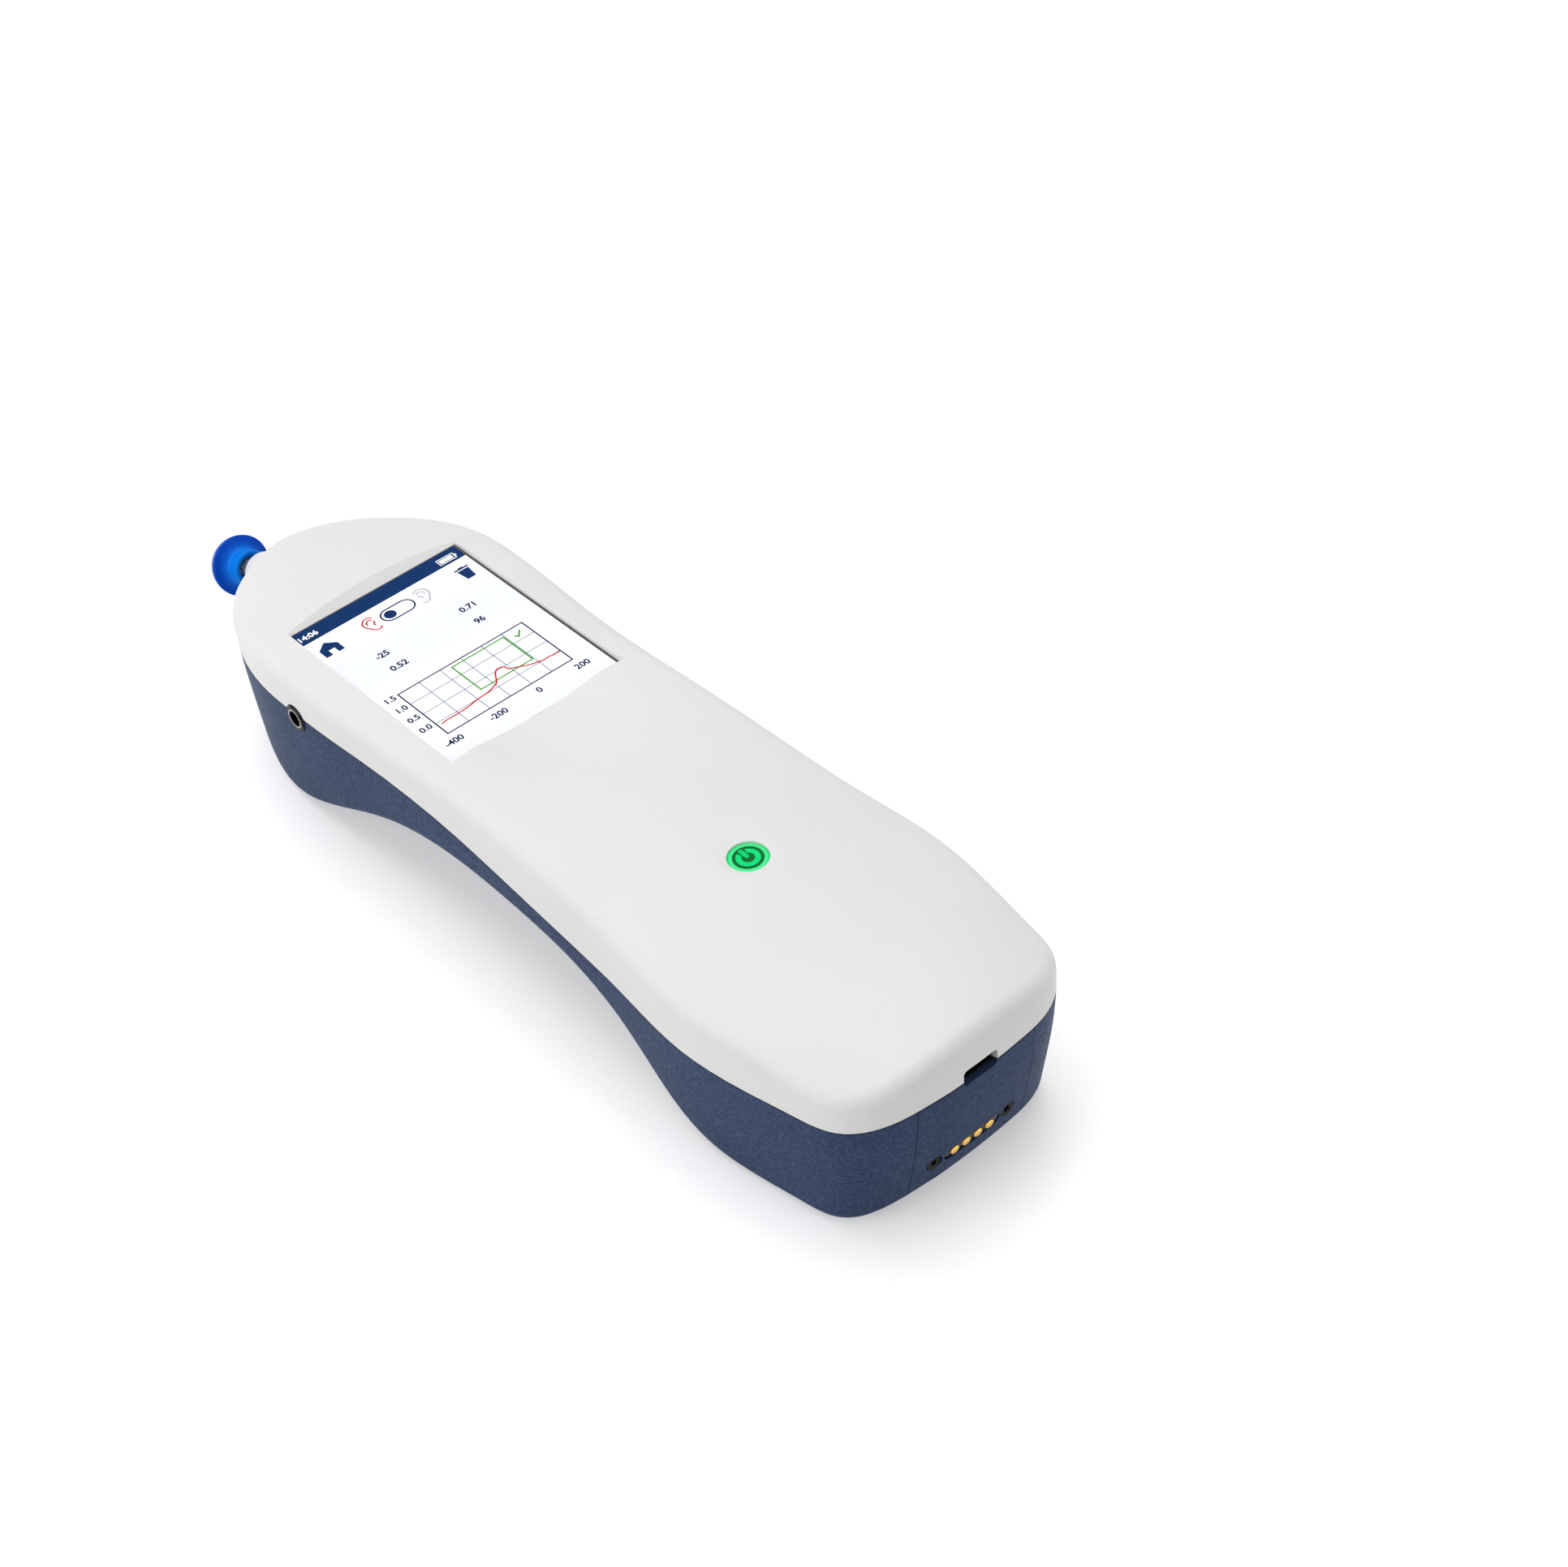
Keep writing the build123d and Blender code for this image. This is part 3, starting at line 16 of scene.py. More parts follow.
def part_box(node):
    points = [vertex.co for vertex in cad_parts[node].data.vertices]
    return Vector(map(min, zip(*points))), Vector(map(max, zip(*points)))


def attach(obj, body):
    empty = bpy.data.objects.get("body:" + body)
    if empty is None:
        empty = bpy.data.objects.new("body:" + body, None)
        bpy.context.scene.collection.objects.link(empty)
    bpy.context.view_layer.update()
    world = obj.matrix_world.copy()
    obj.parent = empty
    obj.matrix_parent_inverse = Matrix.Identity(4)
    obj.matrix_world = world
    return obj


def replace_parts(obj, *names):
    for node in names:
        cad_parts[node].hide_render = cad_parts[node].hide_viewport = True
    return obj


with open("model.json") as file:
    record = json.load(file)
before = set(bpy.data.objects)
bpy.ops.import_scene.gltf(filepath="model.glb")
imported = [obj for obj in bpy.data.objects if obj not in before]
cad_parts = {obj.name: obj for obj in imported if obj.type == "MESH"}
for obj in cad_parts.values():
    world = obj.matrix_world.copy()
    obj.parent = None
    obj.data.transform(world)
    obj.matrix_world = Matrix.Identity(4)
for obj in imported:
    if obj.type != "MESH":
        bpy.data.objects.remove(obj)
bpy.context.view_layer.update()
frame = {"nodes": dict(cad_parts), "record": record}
nodes = frame["nodes"]
MM = 0.001

# %% [markdown]
# ## Camera
# The photograph was taken from above the tail's left side with a long lens, so lines that are
# parallel on the object stay almost parallel. The three directions below are the picture's
# right, its down and the line of sight. They were solved from the screen's corners and the
# ends of the case, and a quaternion makes them exactly square to each other.

# %% Place the camera
sight_right = Vector((0.7486, -0.6590, -0.0729))
sight_down = Vector((-0.4845, -0.4686, -0.7387))
sight_forward = Vector((0.4527, 0.5883, -0.6701))
turn = Matrix((sight_right, -sight_down, -sight_forward)).transposed().to_quaternion()
camera_data = bpy.data.cameras.new("camera")
camera_data.sensor_fit = "HORIZONTAL"
camera_data.sensor_width = 36
camera_data.lens = 69.586
camera = bpy.data.objects.new("camera", camera_data)
camera.location = (-0.2525, -0.40598, 0.4446)
camera.rotation_mode = "QUATERNION"
camera.rotation_quaternion = turn
bpy.context.scene.collection.objects.link(camera)
bpy.context.scene.camera = camera
print(f"camera {camera.location.length:.3f} m from the middle of the table under the part")

# %% [markdown]
# ## Light
# A product studio has one big soft box above, one at the side for the shape of the dark lower
# shell, and a white surround. The levels add up to about one, so a colour comes out about as
# it is written. What the camera, a mirror or clear plastic sees of the surround is plain white.

# %% Soft boxes and surround
def soft_box(name, place, aim, size, power):
    lamp = bpy.data.lights.new(name, "AREA")
    lamp.shape = "RECTANGLE"
    lamp.size, lamp.size_y = size
    lamp.energy = power
    box = bpy.data.objects.new(name, lamp)
    box.location = place
    box.rotation_euler = (Vector(aim) - Vector(place)).to_track_quat("-Z", "Y").to_euler()
    bpy.context.scene.collection.objects.link(box)


def seen_directly(tree):
    """One for what the camera, a mirror or clear plastic looks at, nought for plain light."""
    rays = tree.nodes.new("ShaderNodeLightPath")
    found = rays.outputs["Is Camera Ray"]
    for kind in ("Is Glossy Ray", "Is Transmission Ray"):
        either = tree.nodes.new("ShaderNodeMath")
        either.operation = "MAXIMUM"
        tree.links.new(found, either.inputs[0])
        tree.links.new(rays.outputs[kind], either.inputs[1])
        found = either.outputs[0]
    return found


soft_box("top_box", (0.15, 0.35, 1.3), (0, 0, 0), (1.4, 1.2), 11.3)
soft_box("side_box", (-1.1, 0.25, 0.55), (0, 0.02, 0.02), (0.9, 0.8), 5.4)
soft_box("tail_box", (0.5, -1.1, 0.5), (0, -0.05, 0.02), (0.8, 0.6), 1.9)

world = bpy.data.worlds.new("surround")
bpy.context.scene.world = world
world.use_nodes = True
sky = world.node_tree
background = sky.nodes["Background"]
background.inputs["Color"].default_value = (1, 1, 1, 1)
level = sky.nodes.new("ShaderNodeMapRange")
level.inputs["To Min"].default_value = 0.37
level.inputs["To Max"].default_value = 1.0
sky.links.new(seen_directly(sky), level.inputs["Value"])
sky.links.new(level.outputs["Result"], background.inputs["Strength"])
bpy.context.scene.view_settings.view_transform = "Standard"
print("three soft boxes and a white surround")

# %% [markdown]
# ## Floor
# A wide white table top, a little glossy, so that the part leaves a soft shadow and a faint
# reflection. Its own glow shows only where the floor is looked at, by the camera or in a
# reflection: it whitens the picture without lighting the part.

# %% Make the floor
floor_mesh = bpy.data.meshes.new("floor")
reach = 4.0
floor_mesh.from_pydata(
    [(-reach, -reach, 0), (reach, -reach, 0), (reach, reach, 0), (-reach, reach, 0)],
    [], [(0, 1, 2, 3)],
)
floor = bpy.data.objects.new("floor", floor_mesh)
bpy.context.scene.collection.objects.link(floor)
floor_paint = bpy.data.materials.new("floor_paint")
floor_paint.use_nodes = True
floor_shader = floor_paint.node_tree.nodes["Principled BSDF"]
floor_shader.inputs["Base Color"].default_value = (0.88, 0.88, 0.885, 1)
floor_shader.inputs["Roughness"].default_value = 0.32
floor_shader.inputs["Specular IOR Level"].default_value = 0.25
floor_shader.inputs["Emission Color"].default_value = (1, 1, 1, 1)
glow = floor_paint.node_tree.nodes.new("ShaderNodeMath")
glow.operation = "MULTIPLY"
glow.inputs[1].default_value = 0.36
floor_paint.node_tree.links.new(seen_directly(floor_paint.node_tree), glow.inputs[0])
floor_paint.node_tree.links.new(glow.outputs[0], floor_shader.inputs["Emission Strength"])
floor_mesh.materials.append(floor_paint)
print("floor laid")

# %% [markdown]
# ## Shared surface effects
# Two effects turn up on many parts, so each is a node group that is built once. Moulded grain
# is the fine pitting that a spark-eroded mould leaves on plastic. Tool marks are the long thin
# streaks of drawn or turned metal. Both give out a colour, a roughness and a height, and the
# material that uses them turns the height into a bump.

# %% Node group helpers
def start_group(name, inputs, outputs):
    tree = bpy.data.node_groups.new(name, "ShaderNodeTree")
    kinds = {float: "NodeSocketFloat", tuple: "NodeSocketColor"}
    for label, value in inputs.items():
        socket = tree.interface.new_socket(
            label, in_out="INPUT", socket_type=kinds[type(value)]
        )
        socket.default_value = value
    for label, kind in outputs.items():
        tree.interface.new_socket(label, in_out="OUTPUT", socket_type=kinds[kind])
    return tree, tree.nodes.new("NodeGroupInput"), tree.nodes.new("NodeGroupOutput")


def add(tree, kind, operation=None, **values):
    node = tree.nodes.new(kind)
    if operation:
        node.operation = operation
    for key, value in values.items():
        node.inputs[key.replace("_", " ")].default_value = value
    return node


def join(tree, source, target):
    tree.links.new(source, target)


# %% Moulded grain
grain, grain_in, grain_out = start_group(
    "moulded_grain",
    {
        "Base": (0.8, 0.8, 0.8, 1.0), "Shade": (0.7, 0.7, 0.7, 1.0), "Grain per metre": 2500.0,
        "Smoothest": 0.4, "Roughest": 0.5, "Speckle": 0.2,
    },
    {"Color": tuple, "Roughness": float, "Height": float},
)
place = add(grain, "ShaderNodeTexCoord")
pits = add(grain, "ShaderNodeTexVoronoi")
fine = add(grain, "ShaderNodeTexNoise", Detail=3.0, Roughness=0.6)
patches = add(grain, "ShaderNodeTexNoise", Scale=38.0, Detail=2.0)
for texture in (pits, fine):
    join(grain, place.outputs["Object"], texture.inputs["Vector"])
    join(grain, grain_in.outputs["Grain per metre"], texture.inputs["Scale"])
join(grain, place.outputs["Object"], patches.inputs["Vector"])
flecks = add(grain, "ShaderNodeMapRange", From_Min=0.4, From_Max=0.6, To_Min=-1.0)
join(grain, fine.outputs["Fac"], flecks.inputs["Value"])
mottle = add(grain, "ShaderNodeMath", "MULTIPLY_ADD")
join(grain, flecks.outputs["Result"], mottle.inputs[0])
join(grain, grain_in.outputs["Speckle"], mottle.inputs[1])
join(grain, patches.outputs["Fac"], mottle.inputs[2])
tint = add(grain, "ShaderNodeMix")
tint.data_type = "RGBA"
join(grain, mottle.outputs[0], tint.inputs["Factor"])
join(grain, grain_in.outputs["Base"], tint.inputs["A"])
join(grain, grain_in.outputs["Shade"], tint.inputs["B"])
sheen_range = add(grain, "ShaderNodeMapRange", From_Min=0.3, From_Max=0.7)
join(grain, fine.outputs["Fac"], sheen_range.inputs["Value"])
join(grain, grain_in.outputs["Smoothest"], sheen_range.inputs["To Min"])
join(grain, grain_in.outputs["Roughest"], sheen_range.inputs["To Max"])
relief = add(grain, "ShaderNodeMath", "ADD")
join(grain, pits.outputs["Distance"], relief.inputs[0])
join(grain, fine.outputs["Fac"], relief.inputs[1])
join(grain, tint.outputs["Result"], grain_out.inputs["Color"])
join(grain, sheen_range.outputs["Result"], grain_out.inputs["Roughness"])
join(grain, relief.outputs[0], grain_out.inputs["Height"])
print("moulded grain:", len(grain.nodes), "nodes")

# %% Tool marks
marks, marks_in, marks_out = start_group(
    "tool_marks",
    {
        "Base": (0.6, 0.6, 0.6, 1.0), "Shade": (0.5, 0.5, 0.5, 1.0), "Smoothest": 0.2,
        "Roughest": 0.35,
    },
    {"Color": tuple, "Roughness": float, "Height": float},
)
marks_place = add(marks, "ShaderNodeTexCoord")
stretch = add(marks, "ShaderNodeMapping")
stretch.inputs["Scale"].default_value = (6000, 500, 6000)
streaks = add(marks, "ShaderNodeTexNoise", Scale=1.0, Detail=3.0)
join(marks, marks_place.outputs["Object"], stretch.inputs["Vector"])
join(marks, stretch.outputs["Vector"], streaks.inputs["Vector"])
marks_tint = add(marks, "ShaderNodeMix")
marks_tint.data_type = "RGBA"
join(marks, streaks.outputs["Fac"], marks_tint.inputs["Factor"])
join(marks, marks_in.outputs["Base"], marks_tint.inputs["A"])
join(marks, marks_in.outputs["Shade"], marks_tint.inputs["B"])
marks_range = add(marks, "ShaderNodeMapRange", From_Min=0.3, From_Max=0.7)
join(marks, streaks.outputs["Fac"], marks_range.inputs["Value"])
join(marks, marks_in.outputs["Smoothest"], marks_range.inputs["To Min"])
join(marks, marks_in.outputs["Roughest"], marks_range.inputs["To Max"])
join(marks, marks_tint.outputs["Result"], marks_out.inputs["Color"])
join(marks, marks_range.outputs["Result"], marks_out.inputs["Roughness"])
join(marks, streaks.outputs["Fac"], marks_out.inputs["Height"])
print("tool marks:", len(marks.nodes), "nodes")

# %% [markdown]
# ## Finishes
# One function turns a group and its values into a material: the group feeds the base colour
# and the roughness, and its height goes through a Bump node. The bump depth is a real depth in
# metres, a few hundredths of a millimetre for grain that the hand just feels.

# %% Material builder
def colour(red, green, blue):
    """A colour given as screen values from 0 to 255, as a shader wants it."""
    def straight(value):
        share = value / 255
        return share / 12.92 if share <= 0.04045 else ((share + 0.055) / 1.055) ** 2.4
    return (straight(red), straight(green), straight(blue), 1.0)


def finish(name, group, values, depth, metal=0.0, **fixed):
    material = bpy.data.materials.new(name)
    material.use_nodes = True
    tree = material.node_tree
    shader = tree.nodes["Principled BSDF"]
    effect = tree.nodes.new("ShaderNodeGroup")
    effect.node_tree = group
    for key, value in values.items():
        effect.inputs[key].default_value = value
    bump = add(tree, "ShaderNodeBump", Strength=1.0, Distance=depth)
    join(tree, effect.outputs["Height"], bump.inputs["Height"])
    join(tree, bump.outputs["Normal"], shader.inputs["Normal"])
    join(tree, effect.outputs["Color"], shader.inputs["Base Color"])
    join(tree, effect.outputs["Roughness"], shader.inputs["Roughness"])
    shader.inputs["Metallic"].default_value = metal
    for key, value in fixed.items():
        shader.inputs[key.replace("_", " ")].default_value = value
    return material


def plastic(
    name, base, shade, per_metre=2500.0, rough=(0.38, 0.5), depth=0.00001, speckle=0.2, **fixed
):
    values = {
        "Base": colour(*base), "Shade": colour(*shade), "Grain per metre": per_metre,
        "Smoothest": rough[0], "Roughest": rough[1], "Speckle": speckle,
    }
    return finish(name, grain, values, depth, **fixed)


def metal(name, base, shade, rough=(0.18, 0.32), depth=0.000004):
    values = {
        "Base": colour(*base), "Shade": colour(*shade),
        "Smoothest": rough[0], "Roughest": rough[1],
    }
    return finish(name, marks, values, depth, metal=1.0)


# %% The finishes of this object
cover_white = plastic(
    "cover_white", (233, 232, 231), (228, 227, 226), 2100.0, (0.42, 0.52), 0.000012,
    Specular_IOR_Level=0.25,
)
shell_blue = plastic(
    "shell_blue", (56, 74, 106), (42, 57, 87), 1500.0, (0.45, 0.6), 0.00004, 0.45,
    Specular_IOR_Level=0.08,
)
seal_black = plastic("seal_black", (20, 21, 26), (14, 15, 18), 1500.0, (0.6, 0.8))
socket_black = plastic("socket_black", (17, 17, 19), (11, 11, 13), 3000.0, (0.35, 0.5))
ring_black = plastic(
    "ring_black", (8, 8, 9), (5, 5, 6), 900.0, (0.25, 0.35), 0.000002, Specular_IOR_Level=0.15,
)
glass_black = plastic(
    "glass_black", (16, 17, 20), (12, 13, 15), 60.0, (0.04, 0.06), 0.0, Coat_Weight=0.6,
)
film_amber = plastic("film_amber", (176, 104, 32), (150, 84, 22), 400.0, (0.2, 0.3))
sleeve_blue = plastic("sleeve_blue", (34, 84, 146), (28, 72, 128), 220.0, (0.15, 0.3), 0.00004)
inner_white = plastic("inner_white", (214, 215, 216), (202, 203, 205), 1200.0, (0.4, 0.55))
nose_white = plastic("nose_white", (228, 229, 231), (222, 223, 226), 2600.0, (0.25, 0.35))
tube_milky = plastic("tube_milky", (214, 216, 216), (202, 205, 206), 700.0, (0.4, 0.5))
button_glow = plastic("button_glow", (0, 205, 116), (0, 190, 104), 1500.0, (0.18, 0.28), 0.000002)
steel = metal("steel", (176, 177, 180), (150, 151, 155))
tin = metal("tin", (190, 191, 194), (168, 169, 172), (0.25, 0.4))
gold = metal("gold", (246, 204, 116), (228, 178, 84), (0.14, 0.26))
brass = metal("brass", (196, 164, 96), (170, 138, 74))
cell_alloy = metal("cell_alloy", (186, 188, 192), (170, 172, 176), (0.3, 0.45))
# Near-black for the door screws and the data socket's shell: painted shade of the screw holes and
# of the socket's opening.
near_black_painted_shade = plastic(
    "near_black_painted_shade", (6, 6, 7), (3, 3, 4), 2600.0, (0.3, 0.45), Specular_IOR_Level=0.15,
)
block_black = plastic("block_black", (14, 14, 16), (8, 8, 9), 1800.0, (0.3, 0.42))

button_shader = button_glow.node_tree.nodes["Principled BSDF"]
button_shader.inputs["Emission Color"].default_value = colour(0, 240, 138)
button_shader.inputs["Emission Strength"].default_value = 0.35
print(len(bpy.data.materials), "materials so far")

# %% [markdown]
# ## Clear plastics and the circuit board
# The probe tip and the pump's cylinder are clear, so light passes through them, and a little
# roughness keeps them from looking like cut glass. The board's green lacquer shows its copper
# tracks as slightly lighter lines, which two brick patterns imitate, one turned a quarter.

# %% Clear plastics
clear_tip = plastic("clear_tip", (236, 244, 247), (228, 238, 242), 500.0, (0.05, 0.12), 0.000002)
clear_bore = plastic("clear_bore", (228, 236, 240), (220, 230, 235), 500.0, (0.05, 0.12), 0.000002)
for clear in (clear_tip, clear_bore):
    clear_shader = clear.node_tree.nodes["Principled BSDF"]
    clear_shader.inputs["Transmission Weight"].default_value = 0.85
    clear_shader.inputs["IOR"].default_value = 1.49

# %% Circuit board lacquer
board_green = plastic("board_green", (20, 92, 52), (14, 78, 42), 1400.0, (0.25, 0.35))
board_tree = board_green.node_tree
board_shader = board_tree.nodes["Principled BSDF"]
board_base = board_shader.inputs["Base Color"].links[0].from_socket
board_place = add(board_tree, "ShaderNodeTexCoord")
for across in (False, True):
    turned = add(board_tree, "ShaderNodeMapping")
    turned.inputs["Rotation"].default_value = (0, 0, math.pi / 2 if across else 0)
    tracks = add(board_tree, "ShaderNodeTexBrick", Scale=150.0, Mortar_Size=0.02)
    join(board_tree, board_place.outputs["Object"], turned.inputs["Vector"])
    join(board_tree, turned.outputs["Vector"], tracks.inputs["Vector"])
    lines = add(board_tree, "ShaderNodeMix")
    lines.data_type = "RGBA"
    lines.inputs["B"].default_value = colour(46, 128, 78)
    join(board_tree, tracks.outputs["Fac"], lines.inputs["Factor"])
    join(board_tree, board_base, lines.inputs["A"])
    board_base = lines.outputs["Result"]
join(board_tree, board_base, board_shader.inputs["Base Color"])
print("clear plastics and board lacquer ready")

# %% [markdown]
# ## Ear tip rubber
# The tip is moulded in one piece of soft royal-blue silicone. Its thin stem lets light through
# and looks lighter than the thick rim, and that light is painted into the colour, which runs
# along the probe's axis. A dot product with that axis gives the distance along it, and a ramp
# turns it into the two blues, the lighter one painted light.

# %% Silicone with painted light that lightens it towards the stem
probe_tilt = math.radians(19.4)
probe_way = Vector((0, math.cos(probe_tilt), -math.sin(probe_tilt)))
ear_low, ear_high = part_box("ear_tip")
ear_blue = plastic(
    "ear_blue", (0, 80, 200), (0, 72, 188), 900.0, (0.3, 0.42), 0.000006,
    Specular_IOR_Level=0.1,
)
ear_tree = ear_blue.node_tree
ear_shader = ear_tree.nodes["Principled BSDF"]
ear_place = add(ear_tree, "ShaderNodeTexCoord")
along = add(ear_tree, "ShaderNodeVectorMath", "DOT_PRODUCT")
along.inputs[1].default_value = probe_way
join(ear_tree, ear_place.outputs["Object"], along.inputs[0])
nose_point = Vector((0, 0.09932, 0.0215))
nose_along = nose_point.dot(probe_way)
stem_end, rim_start = 0.0226, 0.0240
share = add(
    ear_tree, "ShaderNodeMapRange",
    From_Min=nose_along + stem_end, From_Max=nose_along + rim_start,
)
join(ear_tree, along.outputs["Value"], share.inputs["Value"])
# The lighter blue at the stem is painted light, for the light that passes through the thin stem.
painted_stem_light = add(ear_tree, "ShaderNodeMix")
painted_stem_light.data_type = "RGBA"
painted_stem_light.inputs["A"].default_value = colour(0, 122, 230)
join(ear_tree, share.outputs["Result"], painted_stem_light.inputs["Factor"])
join(ear_tree, ear_shader.inputs["Base Color"].links[0].from_socket, painted_stem_light.inputs["B"])
join(ear_tree, painted_stem_light.outputs["Result"], ear_shader.inputs["Base Color"])
print(f"ear tip runs from y {ear_low.y:.4f} to {ear_high.y:.4f}")

# %% [markdown]
# ## Finishes onto the CAD nodes
# Each CAD node already has a material slot in the record, so one table from slot to finish
# dresses them all. Only the door's two screws and the data socket's shell differ from the
# other steel parts: they are near-black, painted shade of the screw holes and of the socket's
# opening. The nodes' meshes are not touched.

# %% Dress the CAD nodes
finish_of_slot = {
    "cover_shell": cover_white, "lower_shell": shell_blue, "seal_rubber": seal_black,
    "screw_steel": steel, "contact_black": socket_black, "contact_gold": gold,
    "flex_film": film_amber, "cell_metal": cell_alloy, "pack_sleeve": sleeve_blue,
    "board_laminate": board_green, "shell_steel": tin, "cover_glass": glass_black,
    "display_stack": socket_black, "frame_plastic": inner_white, "button_green": button_glow,
    "jack_black": ring_black, "pump_clear": clear_bore, "tube_rubber": tube_milky,
    "sensor_metal": cell_alloy, "valve_brass": brass, "nose_plastic": nose_white,
    "tip_clear": clear_tip, "ear_rubber": ear_blue,
}
slot_of_node = {row["node"]: row["material_slot"] for row in frame["record"]["subparts"]}
# These steel nodes are drawn near-black, painted shade of the recesses they sit in.
painted_shade_nodes = {"door_screws", "port_shell"}
for name, node in nodes.items():
    node.data.materials.clear()
    slot_finish = finish_of_slot[slot_of_node[name]]
    node.data.materials.append(near_black_painted_shade if name in painted_shade_nodes else slot_finish)
print("dressed", len(nodes), "nodes in", len(finish_of_slot), "finishes")

# %% [markdown]
# ## Smooth shells
# The CAD model arrives as loose triangles. On the big curved shells their edges would show as
# flat spots in the highlights. A merged copy of each shell is shaded smoothly, with creases
# kept where two faces really meet at an angle, and it stands for the CAD node.

# %% Merged, smooth copies
WELD = 0.000002


def smooth_copy(node_name, piece_name, body, crease=32):
    source = nodes[node_name].data
    work = bmesh.new()
    work.from_mesh(source)
    bmesh.ops.remove_doubles(work, verts=work.verts, dist=WELD)
    work.verts.index_update()
    mesh = bpy.data.meshes.new(piece_name)
    mesh.from_pydata(
        [v.co[:] for v in work.verts], [], [[v.index for v in f.verts] for f in work.faces]
    )
    work.free()
    mesh.shade_smooth()
    mesh.set_sharp_from_angle(angle=math.radians(crease))
    mesh.materials.append(source.materials[0])
    piece = bpy.data.objects.new(piece_name, mesh)
    bpy.context.scene.collection.objects.link(piece)
    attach(piece, body)
    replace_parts(piece, node_name)
    print(piece_name, len(mesh.vertices), "points")


smooth_copy("top_cover", "cover_skin", "case")
smooth_copy("bottom_housing", "housing_skin", "case")
smooth_copy("battery_door", "door_skin", "battery_door")

# %% [markdown]
# ## Painted shade of the seam
# The real seam shows as a thin black line, the shade in the narrow gap between the shells. The
# CAD gasket lies a little deeper. The visible piece is a merged copy of it whose outer wall is
# pushed out along its normals until it stops just short of the faces, and its black paints the
# seam's shade. A face belongs to the outer wall if it stands upright and looks away from the
# middle of the ring. The ring is over three times as long as it is wide, so the long way counts
# less in that test.

# %% Push the gasket's outer wall out
cad_setback = 0.0005
line_setback = 0.00006
long_way_share = 0.08
upright = 0.7


def painted_seam_shade():
    work = bmesh.new()
    work.from_mesh(nodes["seam_gasket"].data)
    bmesh.ops.remove_doubles(work, verts=work.verts, dist=WELD)
    work.normal_update()
    middle = (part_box("seam_gasket")[0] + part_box("seam_gasket")[1]) / 2
    outward = {}
    for face in work.faces:
        flat = Vector((face.normal.x, face.normal.y, 0))
        away = face.calc_center_median() - middle
        if flat.length > upright and flat.x * away.x + flat.y * away.y * long_way_share > 0:
            for vert in face.verts:
                outward[vert] = outward.get(vert, Vector()) + flat * face.calc_area()
    for vert, way in outward.items():
        vert.co += way.normalized() * (cad_setback - line_setback)
    mesh = bpy.data.meshes.new("painted_seam_shade")
    work.to_mesh(mesh)
    work.free()
    return mesh, len(outward)


line_mesh, pushed = painted_seam_shade()
print("seam points pushed out:", pushed)

# %% [markdown]
# ## Turned pieces
# A lathe shape is a profile of radius and distance along an axis, swept round it. The profile
# here closes on itself, so the piece is a solid ring without poles, and a smooth curve through
# a few chosen points keeps its lip round. A dome or a screw head is such a ring too, round a
# hole 0.04 mm wide that is too fine to see.

# %% Lathe helper
HAIR_HOLE = 0.00002


def outward_mesh(name, points, faces, crease):
    """A closed mesh whose faces point outwards, smooth except where it folds past the crease."""
    mesh = bpy.data.meshes.new(name)
    mesh.from_pydata(points, [], faces)
    work = bmesh.new()
    work.from_mesh(mesh)
    bmesh.ops.recalc_face_normals(work, faces=work.faces)
    work.to_mesh(mesh)
    work.free()
    mesh.shade_smooth()
    mesh.set_sharp_from_angle(angle=math.radians(crease))
    return mesh


def turned_mesh(name, profile, origin, axis, steps=72):
    """A ring-shaped mesh from a closed profile of (radius, distance along the axis)."""
    axis = Vector(axis).normalized()
    side = axis.orthogonal().normalized()
    other = axis.cross(side)
    count = len(profile)
    points, faces = [], []
    for step in range(steps):
        angle = 2 * math.pi * step / steps
        out = side * math.cos(angle) + other * math.sin(angle)
        points += [tuple(Vector(origin) + axis * s + out * r) for r, s in profile]
    for step in range(steps):
        here, there = step * count, (step + 1) % steps * count
        for k in range(count):
            m = (k + 1) % count
            faces.append((here + k, here + m, there + m, there + k))
    return outward_mesh(name, points, faces, crease=40)


def flowing(points, steps=6):
    """More points on a smooth curve through the given ones."""
    run = []
    padded = [points[0]] + list(points) + [points[-1]]
    for before, start, end, after in zip(padded, padded[1:], padded[2:], padded[3:]):
        for k in range(steps):
            t = k / steps
            run.append(tuple(
                0.5 * (2 * b + (c - a) * t + (2 * a - 5 * b + 4 * c - d) * t * t
                       + (3 * b - a - 3 * c + d) * t ** 3)
                for a, b, c, d in zip(before, start, end, after)
            ))
    return run + [points[-1]]


def add_piece(name, mesh, material, body):
    mesh.materials.clear()
    mesh.materials.append(material)
    piece = bpy.data.objects.new(name, mesh)
    bpy.context.scene.collection.objects.link(piece)
    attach(piece, body)
    print(f"{name}: {len(mesh.polygons)} faces on {body}")
    return piece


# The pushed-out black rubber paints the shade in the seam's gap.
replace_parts(add_piece("painted_seam_shade", line_mesh, seal_black, "case"), "seam_gasket")

# %% [markdown]
# ## Ear tip
# Seen from behind, the real tip is a small trumpet: a stem with a bead at its end, a step
# half way out, and a wide thin rim. The stem's mouth is flared, so that the clear tip shows
# inside it. In front the tip is a soft dome that seals the ear. The piece takes the place of
# the plainer CAD solid and keeps to that solid's length and width.

